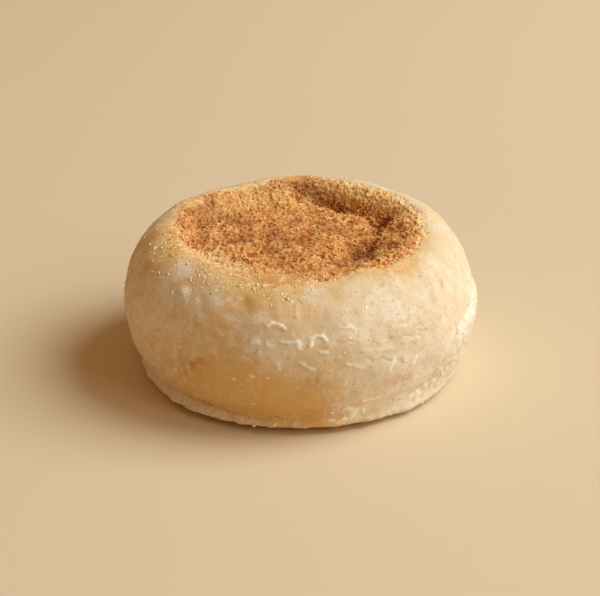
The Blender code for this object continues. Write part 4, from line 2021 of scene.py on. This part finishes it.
@dataclass
class Studio:
    """A plain pale floor, a soft key light, a weak fill light, a warm surround and the camera."""

    floor_width: float = 3.0
    elevation: float = 25.0
    distance: float = 0.45
    lens: float = 107.14
    target: tuple[float, float, float] = (-0.0001, 0.0, 0.0165)
    key_side: float = 7.0
    key_lift: float = 45.6
    light_distance: float = 1.8
    key_width: float = 1.34
    key_power: float = 30.6
    light_colour: Colour = (0.91, 1.0, 1.0)
    fill_side: float = -38.0
    fill_lift: float = 30.0
    fill_width: float = 0.84
    fill_power: float = 5.0
    surround: Colour = (0.311, 0.179, 0.079)
    finish: FloorFinish = FloorFinish("studio_floor", roughness=0.9, gloss=0.15)

    def build(self, groups: SharedGroups) -> None:
        """Builds the floor, the light, the surround and the camera.

        Args:
            groups: The shared patterns.
        """
        self.floor(groups)
        self.light("key", self.key_side, self.key_lift, self.key_width, self.key_power)
        self.light("fill", self.fill_side, self.fill_lift, self.fill_width, self.fill_power)
        self.world()
        self.camera()

    def floor(self, groups: SharedGroups) -> None:
        """Lays the floor.

        Args:
            groups: The shared patterns.
        """
        bpy.ops.object.select_all(action="DESELECT")
        bpy.ops.mesh.primitive_plane_add(size=self.floor_width)
        floor = bpy.context.object
        floor.name = "studio_floor"
        floor.data.materials.append(self.finish.make(groups))

    def light(self, name: str, side: float, lift: float, width: float, power: float) -> None:
        """Hangs a soft round light.

        Args:
            name: The light's name.
            side: The side that it hangs on, in degrees.
            lift: Its height over the floor as seen from the muffin, in degrees.
            width: How wide it is.
            power: Its power in watts.
        """
        lamp = bpy.data.lights.new(name, "AREA")
        lamp.shape = "DISK"
        lamp.size = width
        lamp.energy = power
        lamp.color = self.light_colour
        light = placed(name, lamp)
        turn, rise = math.radians(side), math.radians(lift)
        toward = Vector((math.cos(turn) * math.cos(rise), math.sin(turn) * math.cos(rise), math.sin(rise)))
        light.location = Vector(self.target) + toward * self.light_distance
        light.rotation_euler = toward.to_track_quat("Z", "Y").to_euler()

    def world(self) -> None:
        """Sets the warm light that comes from all round."""
        world = bpy.data.worlds.new("surround")
        world.use_nodes = True
        world.node_tree.nodes["Background"].inputs["Color"].default_value = (*self.surround, 1.0)
        bpy.context.scene.world = world
        bpy.context.scene.view_settings.view_transform = "Standard"

    def camera(self) -> None:
        """Sets the camera in front of the muffin, looking down on it."""
        lens = bpy.data.cameras.new("camera")
        lens.lens = self.lens
        camera = placed("camera", lens)
        lean = math.radians(self.elevation)
        back = Vector((0.0, -math.cos(lean), math.sin(lean)))
        camera.location = Vector(self.target) + back * self.distance
        camera.rotation_euler = back.to_track_quat("Z", "Y").to_euler()
        bpy.context.scene.camera = camera


def main() -> None:
    """Builds the studio, the skin and what lies on it."""
    logging.basicConfig(level=logging.INFO, format="%(name)s: %(message)s")
    groups = SharedGroups()
    Studio().build(groups)
    skin = MuffinSkin()
    skin.build(groups)
    top = ToastedTop()
    top.build(skin, groups)
    Toppings().build(skin, top, groups)


if __name__ == "__main__":
    main()
